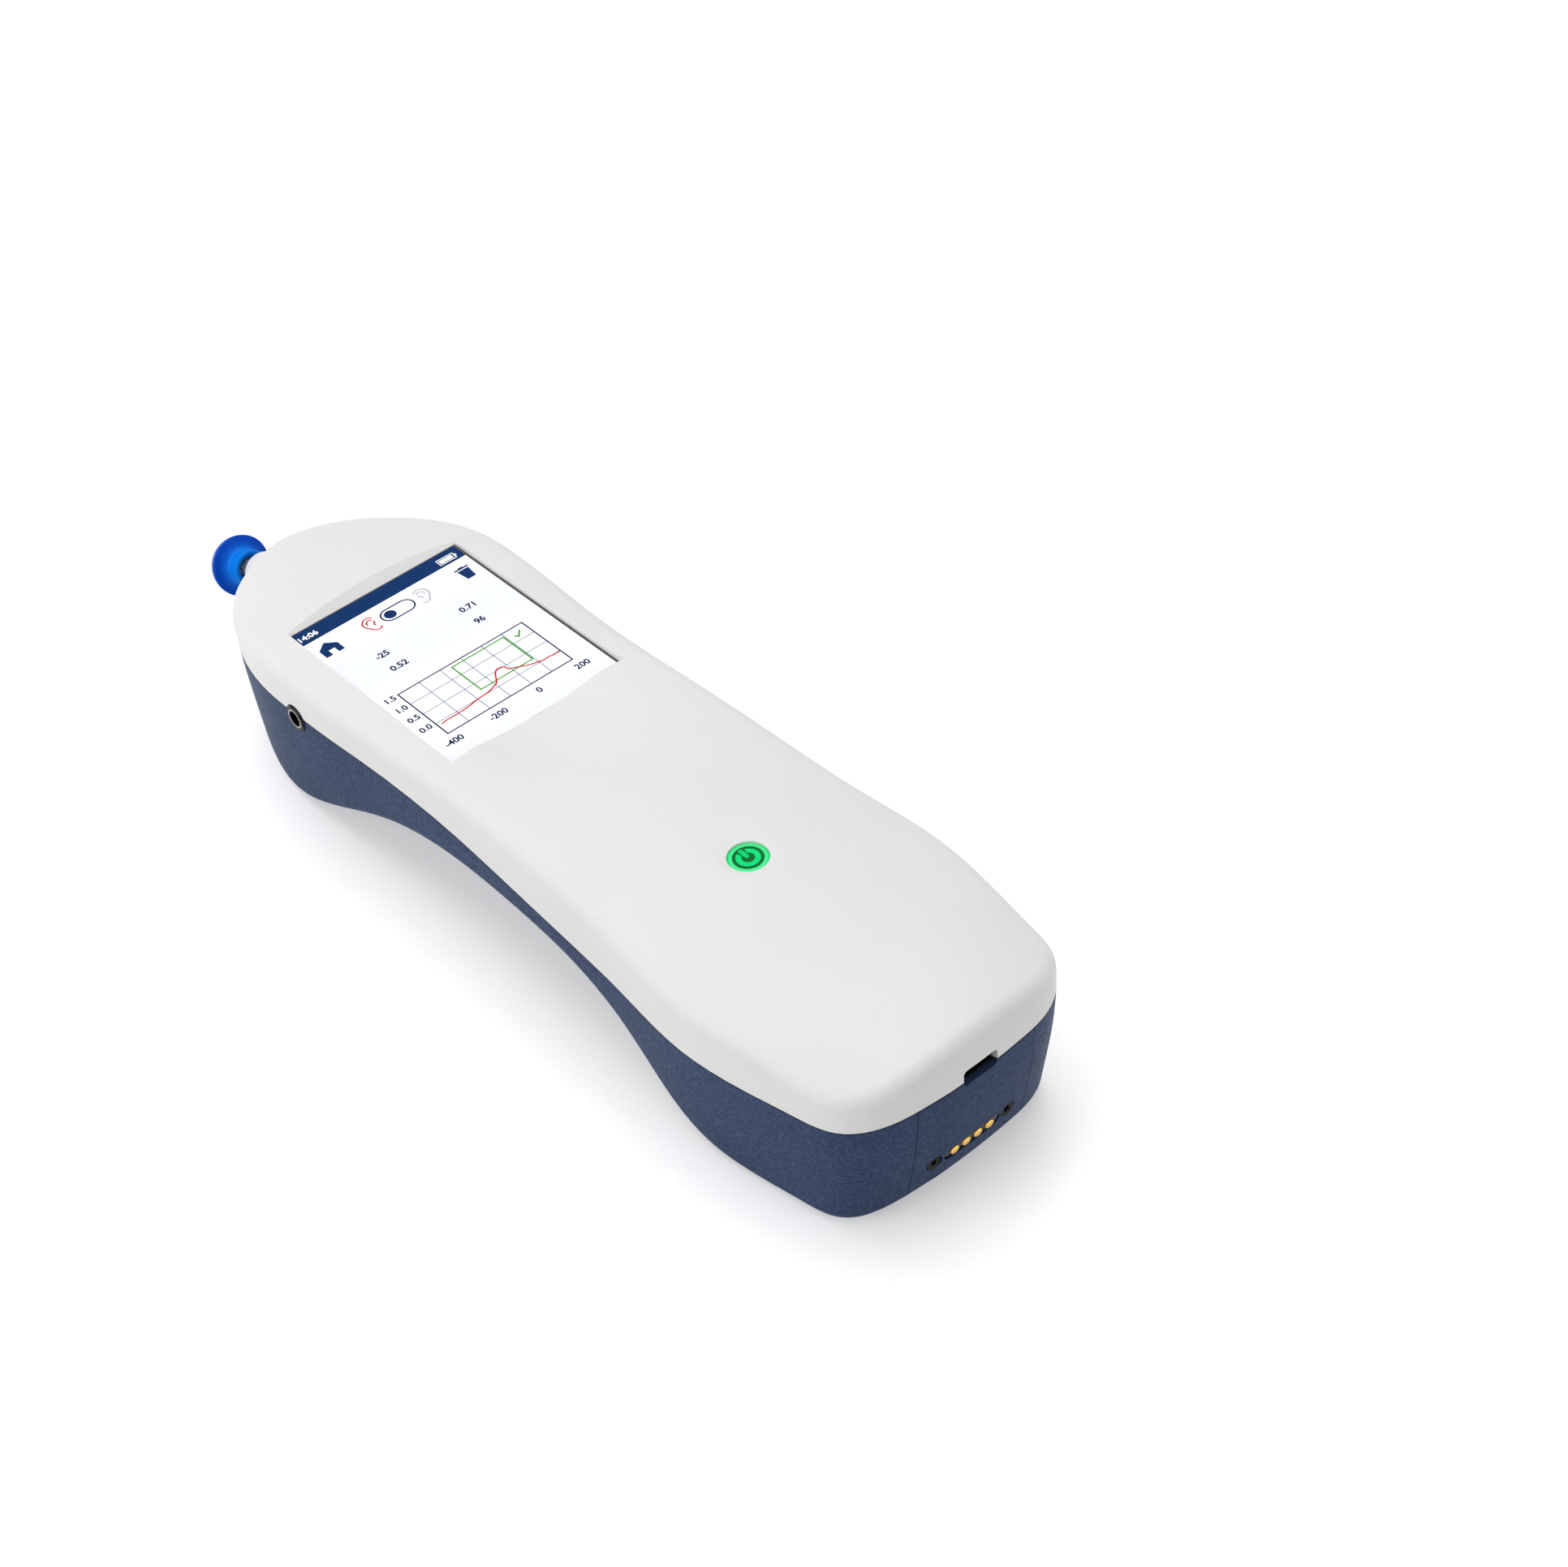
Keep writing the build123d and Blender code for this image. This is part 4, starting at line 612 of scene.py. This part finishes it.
# %% Turn the ear tip
back_of_trumpet = [
    (2.45, 20.6), (2.9, 19.6), (3.55, 18.72), (4.0, 18.62), (4.36, 18.85), (4.38, 19.4),
    (4.12, 19.75), (4.0, 20.6), (4.05, 21.8), (4.35, 22.8), (5.1, 23.45), (6.1, 23.95),
    (6.9, 24.25), (7.24, 24.45), (7.28, 24.7),
]
front_dome = [
    (7.15, 25.4), (6.8, 26.5), (6.0, 27.8), (4.9, 28.85), (3.7, 29.4), (2.8, 29.42), (2.45, 29.1),
]
ear_profile = [(r * MM, s * MM) for r, s in flowing(back_of_trumpet + front_dome, 4)]
ear_piece = add_piece(
    "ear_tip_rubber", turned_mesh("ear_tip_rubber", ear_profile, nose_point, probe_way, 96),
    ear_blue, "ear_tip",
)
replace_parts(ear_piece, "ear_tip")

# %% [markdown]
# ## Headphone socket
# The socket's black plastic ring holds a thin bright sleeve round the hole. The sleeve is a
# turned ring that just shows at the face and lines the mouth of the hole.

# %% Bright sleeve in the headphone socket
ring_low, ring_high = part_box("jack_ring")
jack_mid = Vector((ring_low.x, (ring_low.y + ring_high.y) / 2, (ring_low.z + ring_high.z) / 2))
sleeve_profile = [
    (r * MM, s * MM)
    for r, s in [
        (1.82, 2.5), (1.82, 0.25), (1.88, 0.08), (1.98, 0.0), (2.12, -0.03), (2.26, 0.0),
        (2.3, 0.1), (1.9, 2.5),
    ]
]
add_piece(
    "jack_sleeve", turned_mesh("jack_sleeve", sleeve_profile, jack_mid, (1, 0, 0)),
    steel, "case",
)

# %% [markdown]
# ## Rows of small parts
# Contacts, screw heads and contact strips come in straight rows, so one Geometry Nodes tree
# repeats a small shape along a line. Its inputs are the shape, the count, the first place, the
# step and the finish. It ends in Realize Instances and Set Material, because an export drops
# instances.

# %% Geometry Nodes row
row_tree = bpy.data.node_groups.new("repeat_in_row", "GeometryNodeTree")
row_sockets = {}
for label, kind in (
    ("Shape", "NodeSocketGeometry"), ("Count", "NodeSocketInt"),
    ("First place", "NodeSocketVector"), ("Step", "NodeSocketVector"),
    ("Finish", "NodeSocketMaterial"),
):
    row_sockets[label] = row_tree.interface.new_socket(label, in_out="INPUT", socket_type=kind)
row_tree.interface.new_socket("Row", in_out="OUTPUT", socket_type="NodeSocketGeometry")
row_in = row_tree.nodes.new("NodeGroupInput")
row_out = row_tree.nodes.new("NodeGroupOutput")
line = row_tree.nodes.new("GeometryNodeMeshLine")
line.mode = "OFFSET"
repeat = row_tree.nodes.new("GeometryNodeInstanceOnPoints")
real = row_tree.nodes.new("GeometryNodeRealizeInstances")
dressed = row_tree.nodes.new("GeometryNodeSetMaterial")
join(row_tree, row_in.outputs["Count"], line.inputs["Count"])
join(row_tree, row_in.outputs["First place"], line.inputs["Start Location"])
join(row_tree, row_in.outputs["Step"], line.inputs["Offset"])
join(row_tree, line.outputs["Mesh"], repeat.inputs["Points"])
join(row_tree, row_in.outputs["Shape"], repeat.inputs["Instance"])
join(row_tree, repeat.outputs["Instances"], real.inputs["Geometry"])
join(row_tree, real.outputs["Geometry"], dressed.inputs["Geometry"])
join(row_tree, row_in.outputs["Finish"], dressed.inputs["Material"])
join(row_tree, dressed.outputs["Geometry"], row_out.inputs["Row"])


def plain_mesh(maker):
    """The maker's mesh with its modifiers, or its letters, worked out."""
    bpy.context.view_layer.update()
    graph = bpy.context.evaluated_depsgraph_get()
    return bpy.data.meshes.new_from_object(maker.evaluated_get(graph))


def row_piece(name, shape, count, first, step, material, body):
    """Repeats a small mesh in a row and returns the plain result as a piece."""
    maker = bpy.data.objects.new(name + "_maker", shape)
    bpy.context.scene.collection.objects.link(maker)
    modifier = maker.modifiers.new("row", "NODES")
    modifier.node_group = row_tree
    modifier[row_sockets["Count"].identifier] = count
    modifier[row_sockets["First place"].identifier] = first
    modifier[row_sockets["Step"].identifier] = step
    modifier[row_sockets["Finish"].identifier] = material
    mesh = plain_mesh(maker)
    mesh.name = name
    maker.modifiers.remove(modifier)
    bpy.data.objects.remove(maker)
    return add_piece(name, mesh, material, body)


# %% [markdown]
# ## Charge contacts
# The four gold contacts are shallow domes in a black oval block. The end face leans out towards
# its top and bulges a little in the middle. The visible block's front leans and bulges with it,
# just under its surface, and has a rounded edge. The domes' axis leans as well. The dome is
# turned on the same lathe, and the row tree repeats it at the CAD contacts' pitch.

# %% Black oval block
face_lean = Vector((0, 1, 0.217)).normalized()
contact_low, contact_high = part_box("charge_contacts")
block_low, block_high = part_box("contact_block")
block_middle = (block_low + block_high) / 2
front_ahead = 0.00033
front_middle = Vector((0, block_low.y - front_ahead, block_middle.z))
bulge_per_metre = 8.6


def oval_block(edge_round=0.0003, steps=16):
    half_tall = (block_high.z - block_low.z) / 2
    half_row = (block_high.x - block_low.x) / 2 - half_tall
    rings = []
    for inset, depth in (
        (0.0, None), (0.0, edge_round), (edge_round * 0.3, edge_round * 0.3), (edge_round, 0.0),
    ):
        ring = []
        for side in (1, -1):
            for k in range(steps + 1):
                t = math.pi * k / steps - math.pi / 2
                ring.append((
                    side * (half_row + (half_tall - inset) * math.cos(t)),
                    block_middle.z + side * (half_tall - inset) * math.sin(t), depth,
                ))
        rings.append(ring)
    points = []
    for ring in rings:
        for x, z, depth in ring:
            leaning = front_middle.y - (z - front_middle.z) * face_lean.z / face_lean.y
            leaning += bulge_per_metre * x * x
            points.append((x, block_high.y if depth is None else leaning + depth, z))
    count = len(rings[0])
    faces = [tuple(range(count)), tuple(range(3 * count, 4 * count))]
    for row in range(3):
        for k in range(count):
            m = (k + 1) % count
            below, above = row * count, (row + 1) * count
            faces.append((below + k, below + m, above + m, above + k))
    return outward_mesh("contact_oval", points, faces, crease=30)


oval_piece = add_piece("contact_oval", oval_block(), block_black, "battery_door")
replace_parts(oval_piece, "contact_block")

# %% Four gold domes
contact_radius = (contact_high.z - contact_low.z) / 2
pitch = (contact_high.x - contact_low.x - 2 * contact_radius) / 3
dome_profile = [
    (HAIR_HOLE, 0.0006), (HAIR_HOLE, -0.00027), (0.0005, -0.00024), (0.00088, -0.00015),
    (contact_radius - 0.00005, 0.0), (contact_radius - 0.00002, 0.0002),
    (contact_radius - 0.00002, 0.0006),
]
dome = turned_mesh("contact_dome", dome_profile, (0, 0, 0), face_lean, 40)
dome_ahead = 0.00002
first_contact = (contact_low.x + contact_radius, front_middle.y - dome_ahead, block_middle.z)
row_piece(
    "contact_domes", dome, 4, first_contact, (pitch, 0, 0), gold, "battery_door",
)

# %% [markdown]
# ## Door screws
# Two small screws hold the battery door. Their heads have a domed face and a cross recess, and
# their near-black colour paints the shade of the holes they sit in. The head is a lathe shape
# with the cross cut out of it as two shallow boxes.

# %% Screw heads with a cross recess
def recessed_head(name, radius, height, slot_width, slot_depth):
    profile = [
        (HAIR_HOLE, height), (HAIR_HOLE, 0), (radius * 0.5, 0), (radius * 0.82, height * 0.06),
        (radius * 0.97, height * 0.3), (radius, height * 0.5), (radius, height),
    ]
    head = bpy.data.objects.new(name, turned_mesh(name, profile, (0, 0, 0), (0, 1, 0), 48))
    bpy.context.scene.collection.objects.link(head)
    work = bmesh.new()
    for turn_angle in (0.5, 0.5 + math.pi / 2):
        shape = Matrix.Rotation(turn_angle, 4, "Y") @ Matrix.Diagonal(
            (radius * 1.25, slot_depth * 2, slot_width, 1)
        )
        bmesh.ops.create_cube(work, size=1, matrix=shape)
    cutter_mesh = bpy.data.meshes.new(name + "_cutter")
    work.to_mesh(cutter_mesh)
    work.free()
    cutter = bpy.data.objects.new(name + "_cutter", cutter_mesh)
    bpy.context.scene.collection.objects.link(cutter)
    cut = head.modifiers.new("cut", "BOOLEAN")
    cut.operation = "DIFFERENCE"
    cut.solver = "EXACT"
    cut.use_self = True
    cut.object = cutter
    mesh = plain_mesh(head)
    head.modifiers.remove(cut)
    bpy.data.objects.remove(head)
    bpy.data.objects.remove(cutter)
    return mesh


screw_low, screw_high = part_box("door_screws")
head_radius = (screw_high.z - screw_low.z) / 2
screw_head = recessed_head(
    "door_screw_head", radius=head_radius - 0.00002, height=0.0011,
    slot_width=0.0005, slot_depth=0.0006,
)
row_piece(
    "door_screw_heads", screw_head, 2,
    (screw_low.x + head_radius, screw_low.y, (screw_low.z + screw_high.z) / 2),
    (screw_high.x - screw_low.x - 2 * head_radius, 0, 0),
    near_black_painted_shade, "battery_door",
)

# %% [markdown]
# ## Data socket
# Inside the socket's shell the tongue carries five thin gold strips, and they catch the light
# as fine lines in the dark opening.

# %% Gold strips on the socket's tongue
tongue_low, tongue_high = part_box("port_tongue")
strip_size = (0.0005, 0.0034, 0.00008)
strip_pitch = 0.0010
work = bmesh.new()
bmesh.ops.create_cube(work, size=1, matrix=Matrix.Diagonal((*strip_size, 1)))
bmesh.ops.bevel(work, geom=work.edges[:], offset=0.00002, segments=1, affect="EDGES")
strip = bpy.data.meshes.new("port_strip")
work.to_mesh(strip)
work.free()
strip_first = (
    -2 * strip_pitch, (tongue_low.y + tongue_high.y) / 2, tongue_high.z + 0.00002,
)
row_piece("port_strips", strip, 5, strip_first, (strip_pitch, 0, 0), gold, "case")

# %% [markdown]
# ## Flat inlays
# The picture on the screen and the sign on the button are flat shapes in several colours, one
# just above the other. Each is drawn as polygons in its own flat coordinates, in millimetres,
# and every polygon carries its ink as a colour attribute. One lit material reads that ink.
# The lowest layer lies 0.01 mm above its surface, the next ones 0.016 mm apart, and a figure of
# the built-in font is 0.70 of its size tall.

# %% Inlay canvas
INLAY_LIFT = 0.00001
LAYER_STEP = 0.000016
FIGURE_TALL = 0.70


class Inlay:
    """Flat coloured shapes on a level surface, drawn from a corner to the right and down."""

    def __init__(self, name, corner):
        self.name = name
        self.corner = Vector(corner)
        self.mesh = bmesh.new()
        self.ink = self.mesh.loops.layers.float_color.new("ink")

    def place(self, across, down, layer):
        return self.corner + Vector((across * MM, -down * MM, layer * LAYER_STEP))

    def patch(self, points, ink, layer):
        corners = [self.mesh.verts.new(self.place(a, d, layer)) for a, d in points]
        face = self.mesh.faces.new(corners)
        face.normal_update()
        if face.normal.z < 0:
            face.normal_flip()
        for loop in face.loops:
            loop[self.ink] = ink

    def block(self, left, top, right, bottom, ink, layer):
        self.patch([(left, top), (right, top), (right, bottom), (left, bottom)], ink, layer)

    def disc(self, across, down, radius, ink, layer, steps=48):
        turns = [2 * math.pi * k / steps for k in range(steps)]
        self.patch(
            [(across + radius * math.cos(t), down + radius * math.sin(t)) for t in turns],
            ink, layer,
        )

    def stroke(self, points, width, ink, layer, closed=False):
        """A line of even width through the points, with mitred corners."""
        flat = [Vector(p) for p in points]
        count = len(flat)
        sides = []
        for k, here in enumerate(flat):
            before = flat[k - 1] if closed or k else here
            after = flat[(k + 1) % count] if closed or k < count - 1 else here
            ways = [w.normalized() for w in (here - before, after - here) if w.length > 1e-9]
            way = sum(ways, Vector((0, 0)))
            way = (way if way.length > 1e-6 else ways[0]).normalized()
            square = Vector((-way.y, way.x))
            share = max(0.4, square.dot(Vector((-ways[0].y, ways[0].x))))
            reach_out = square * (width / 2 / share)
            sides.append((here + reach_out, here - reach_out))
        for k in range(count if closed else count - 1):
            m = (k + 1) % count
            quad = [sides[k][0], sides[m][0], sides[m][1], sides[k][1]]
            self.patch([(p.x, p.y) for p in quad], ink, layer)

    def write(self, text, across, down, height, ink, layer, side="LEFT"):
        """Plain figures, sized by their height, placed by their left, middle or right edge."""
        curve = bpy.data.curves.new("figures", "FONT")
        curve.body = text
        curve.resolution_u = 3
        curve.offset = 0.03
        maker = bpy.data.objects.new("figures", curve)
        bpy.context.scene.collection.objects.link(maker)
        letters = plain_mesh(maker)
        bpy.data.objects.remove(maker)
        xs = [v.co.x for v in letters.vertices]
        scale = height / FIGURE_TALL
        shift = {"LEFT": min(xs), "CENTER": (min(xs) + max(xs)) / 2, "RIGHT": max(xs)}[side]
        for face in letters.polygons:
            spots = [letters.vertices[i].co for i in face.vertices]
            self.patch(
                [(across + (s.x - shift) * scale, down - s.y * scale) for s in spots], ink, layer
            )

    def finish(self, material, body, slot):
        mesh = bpy.data.meshes.new(self.name)
        self.mesh.to_mesh(mesh)
        self.mesh.free()
        return add_piece(self.name, mesh, material, body)


def arc(across, down, radius, start, end, steps=20):
    """Points on an arc. Angles are in degrees, clockwise from the right."""
    turns = [math.radians(start + (end - start) * k / steps) for k in range(steps + 1)]
    return [(across + radius * math.cos(t), down + radius * math.sin(t)) for t in turns]


# %% Lit ink
def lit_ink(name, glow_strength, dot_pitch):
    """A lit surface that shows its ink attribute, with the fine dots of a display."""
    material = bpy.data.materials.new(name)
    material.use_nodes = True
    tree = material.node_tree
    shader = tree.nodes["Principled BSDF"]
    ink = tree.nodes.new("ShaderNodeAttribute")
    ink.attribute_name = "ink"
    place = add(tree, "ShaderNodeTexCoord")
    dots = add(tree, "ShaderNodeTexVoronoi", Scale=1 / dot_pitch, Randomness=0.0)
    join(tree, place.outputs["Object"], dots.inputs["Vector"])
    dimmer = add(tree, "ShaderNodeMapRange", From_Min=0.3, From_Max=0.7, To_Min=1.0, To_Max=0.93)
    join(tree, dots.outputs["Distance"], dimmer.inputs["Value"])
    shown = add(tree, "ShaderNodeMix", Factor=1.0)
    shown.data_type = "RGBA"
    shown.blend_type = "MULTIPLY"
    join(tree, ink.outputs["Color"], shown.inputs["A"])
    join(tree, dimmer.outputs["Result"], shown.inputs["B"])
    darker = add(tree, "ShaderNodeMix", Factor=1.0)
    darker.data_type = "RGBA"
    darker.blend_type = "MULTIPLY"
    darker.inputs["B"].default_value = (0.4, 0.4, 0.4, 1)
    join(tree, shown.outputs["Result"], darker.inputs["A"])
    join(tree, darker.outputs["Result"], shader.inputs["Base Color"])
    join(tree, shown.outputs["Result"], shader.inputs["Emission Color"])
    shader.inputs["Emission Strength"].default_value = glow_strength
    shader.inputs["Roughness"].default_value = 0.25
    shader.inputs["Specular IOR Level"].default_value = 0.06
    return material


screen_ink = lit_ink("screen_ink", 0.76, 0.000183)
button_ink = lit_ink("button_ink", 0.5, 0.0004)

# %% [markdown]
# ## Picture on the screen
# The display shows a result: a navy bar with the time and a battery, a row of signs, a grey
# field with four readings, and a chart with a red curve and a green box. Only plain figures
# are written. All places are in millimetres from the top left corner of the glass.

# %% Bars and fields of the picture
glass_low, glass_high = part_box("touch_glass")
wide = (glass_high.x - glass_low.x) / MM
tall_mm = (glass_high.y - glass_low.y) / MM
navy, white, pale = colour(0, 45, 98), colour(255, 255, 255), colour(236, 238, 243)
red, green, grey = colour(196, 22, 34), colour(64, 156, 36), colour(172, 178, 188)
grid_grey, figure_blue = colour(124, 137, 163), colour(10, 36, 82)
picture = Inlay("screen_picture", (glass_low.x, glass_high.y, glass_high.z + INLAY_LIFT))
# The picture stops 0.55 mm short of the right edge and 0.25 mm short of the top, and the black
# glass left bare there is painted shade along the screen's far edges.
right_edge = wide - 0.55
picture.block(0, 0.25, right_edge, tall_mm, white, 0)
picture.block(0, 0.25, right_edge, 4.8, navy, 1)
picture.block(0, 14.8, right_edge, 27.7, pale, 1)
picture.block(0, 55.5, right_edge, tall_mm, pale, 1)
print(f"glass {wide:.1f} mm wide and {tall_mm:.1f} mm tall")

# %% Signs in the top rows
picture.write("14:06", 0.35, 3.45, 1.6, white, 2)
battery_sign = [(37.4, 1.95), (41.7, 1.95), (41.7, 3.95), (37.4, 3.95)]
picture.stroke(battery_sign, 0.22, white, 2, closed=True)
picture.block(37.75, 2.3, 41.2, 3.6, white, 2)
picture.block(41.8, 2.5, 42.15, 3.4, white, 2)
house = [
    (1.3, 8.9), (3.65, 7.0), (6.0, 8.9), (6.0, 11.8), (4.5, 11.8), (4.5, 10.0), (2.95, 10.0),
    (2.95, 11.8), (1.3, 11.8),
]
picture.patch(house, navy, 2)
pill = arc(23.6, 9.6, 2.05, -90, 90) + arc(19.4, 9.6, 2.05, 90, 270)
picture.stroke(pill, 0.4, navy, 2, closed=True)
picture.disc(19.5, 9.6, 1.42, navy, 2)
picture.block(38.0, 7.8, 41.65, 8.3, navy, 2)
picture.block(39.2, 7.5, 40.4, 7.8, navy, 2)
picture.patch([(38.35, 8.6), (41.3, 8.6), (40.9, 12.2), (38.75, 12.2)], navy, 2)
ear_outer = [
    (1.3, -1.9), (0.9, -2.4), (0.1, -2.6), (-0.8, -2.3), (-1.5, -1.5), (-1.65, -0.5),
    (-1.3, 0.5), (-0.8, 1.3), (-0.4, 2.0), (0.3, 2.4), (1.0, 2.3), (1.4, 1.7),
]
ear_inner = [(0.9, -1.3), (0.5, -1.7), (-0.2, -1.6), (-0.7, -1.0), (-0.7, -0.4)]
ear_curl = [(0.9, -0.9), (1.0, -0.3), (0.5, 0.1), (0.6, 0.7)]
# One ear for each side, and the second is the mirror image of the first.
for flip, middle, ink in ((1, 14.6, red), (-1, 28.4, grey)):
    for ear_line in (ear_outer, ear_inner, ear_curl):
        smooth = flowing(ear_line, 4)
        picture.stroke([(middle + flip * a, 9.6 + d) for a, d in smooth], 0.36, ink, 2)
print("signs drawn")

# %% Readings and chart
readings = (("-25", 8.6, 20.4), ("0.71", 30.7, 20.7), ("0.52", 8.6, 25.8), ("96", 30.7, 26.1))
for text, across, down in readings:
    picture.write(text, across, down, 1.75, figure_blue, 2)
left, right, top, bottom = 4.8, 37.6, 32.7, 50.35
for k in range(1, 6):
    across = left + (right - left) * k / 6
    picture.stroke([(across, top), (across, bottom)], 0.22, grid_grey, 2)
for down in (37.15, 41.6, 46.05):
    picture.stroke([(left, down), (right, down)], 0.22, grid_grey, 2)
frame_line = [(left, top), (right, top), (right, bottom), (left, bottom)]
picture.stroke(frame_line, 0.34, figure_blue, 3, closed=True)
normal_box = [(18.1, 33.8), (31.8, 33.8), (31.8, 44.1), (18.1, 44.1)]
picture.stroke(normal_box, 0.36, green, 3, closed=True)
picture.stroke([(33.75, 35.2), (34.35, 36.0), (35.8, 34.3)], 0.42, green, 3)
curve_points = [
    (5.7, 46.95), (7.5, 46.75), (9.7, 46.8), (12, 46.7), (13.5, 46.55), (15.2, 46.2),
    (17, 46.05), (18.5, 45.9), (20, 45.5), (21.6, 44.8), (22.5, 43.5), (23.3, 42.2),
    (24.2, 41.4), (25, 41.3), (25.8, 41.7), (26.3, 43.1), (27.2, 43.5), (28.4, 44.2),
    (30, 45.1), (31.9, 45.7), (33.3, 46.1), (34.5, 46.0), (35.5, 46.2), (37.5, 46.3),
]
picture.stroke(flowing(curve_points, 4), 0.36, red, 4)
for text, down in (("1.5", 33.7), ("1.0", 37.9), ("0.5", 42.2), ("0.0", 46.5)):
    picture.write(text, 3.95, down, 1.65, figure_blue, 2, "RIGHT")
for text, across in (("-400", 4.4), ("-200", 15.9), ("0", 26.6), ("200", 38.1)):
    picture.write(text, across, 53.9, 1.7, figure_blue, 2, "CENTER")
picture.finish(screen_ink, "case", "display_stack")

# %% [markdown]
# ## Sign on the button
# The button glows green. A dark disc carries the usual on-off sign as a bright open ring with
# a short bar, and a bright rim is left round the disc.

# %% Draw the button's sign
cap_low, cap_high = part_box("power_button")
cap_mid = (
    (cap_low.x + cap_high.x) / 2, (cap_low.y + cap_high.y) / 2, cap_high.z + INLAY_LIFT,
)
sign = Inlay("button_sign", cap_mid)
lit_green, dark_green = colour(0, 242, 134), colour(8, 112, 50)
sign.disc(0, 0, 3.2, dark_green, 0, 64)
sign.stroke(arc(0, 0, 1.92, -66, 246, 48), 1.14, lit_green, 1)
sign.stroke([(0, -0.2), (0, -2.85)], 1.55, dark_green, 2)
sign.stroke([(0, -0.45), (0, -2.3)], 0.96, lit_green, 3)
for end in (-0.45, -2.3):
    sign.disc(0, end, 0.48, lit_green, 3, 24)
sign.finish(button_ink, "power_button", "button_green")
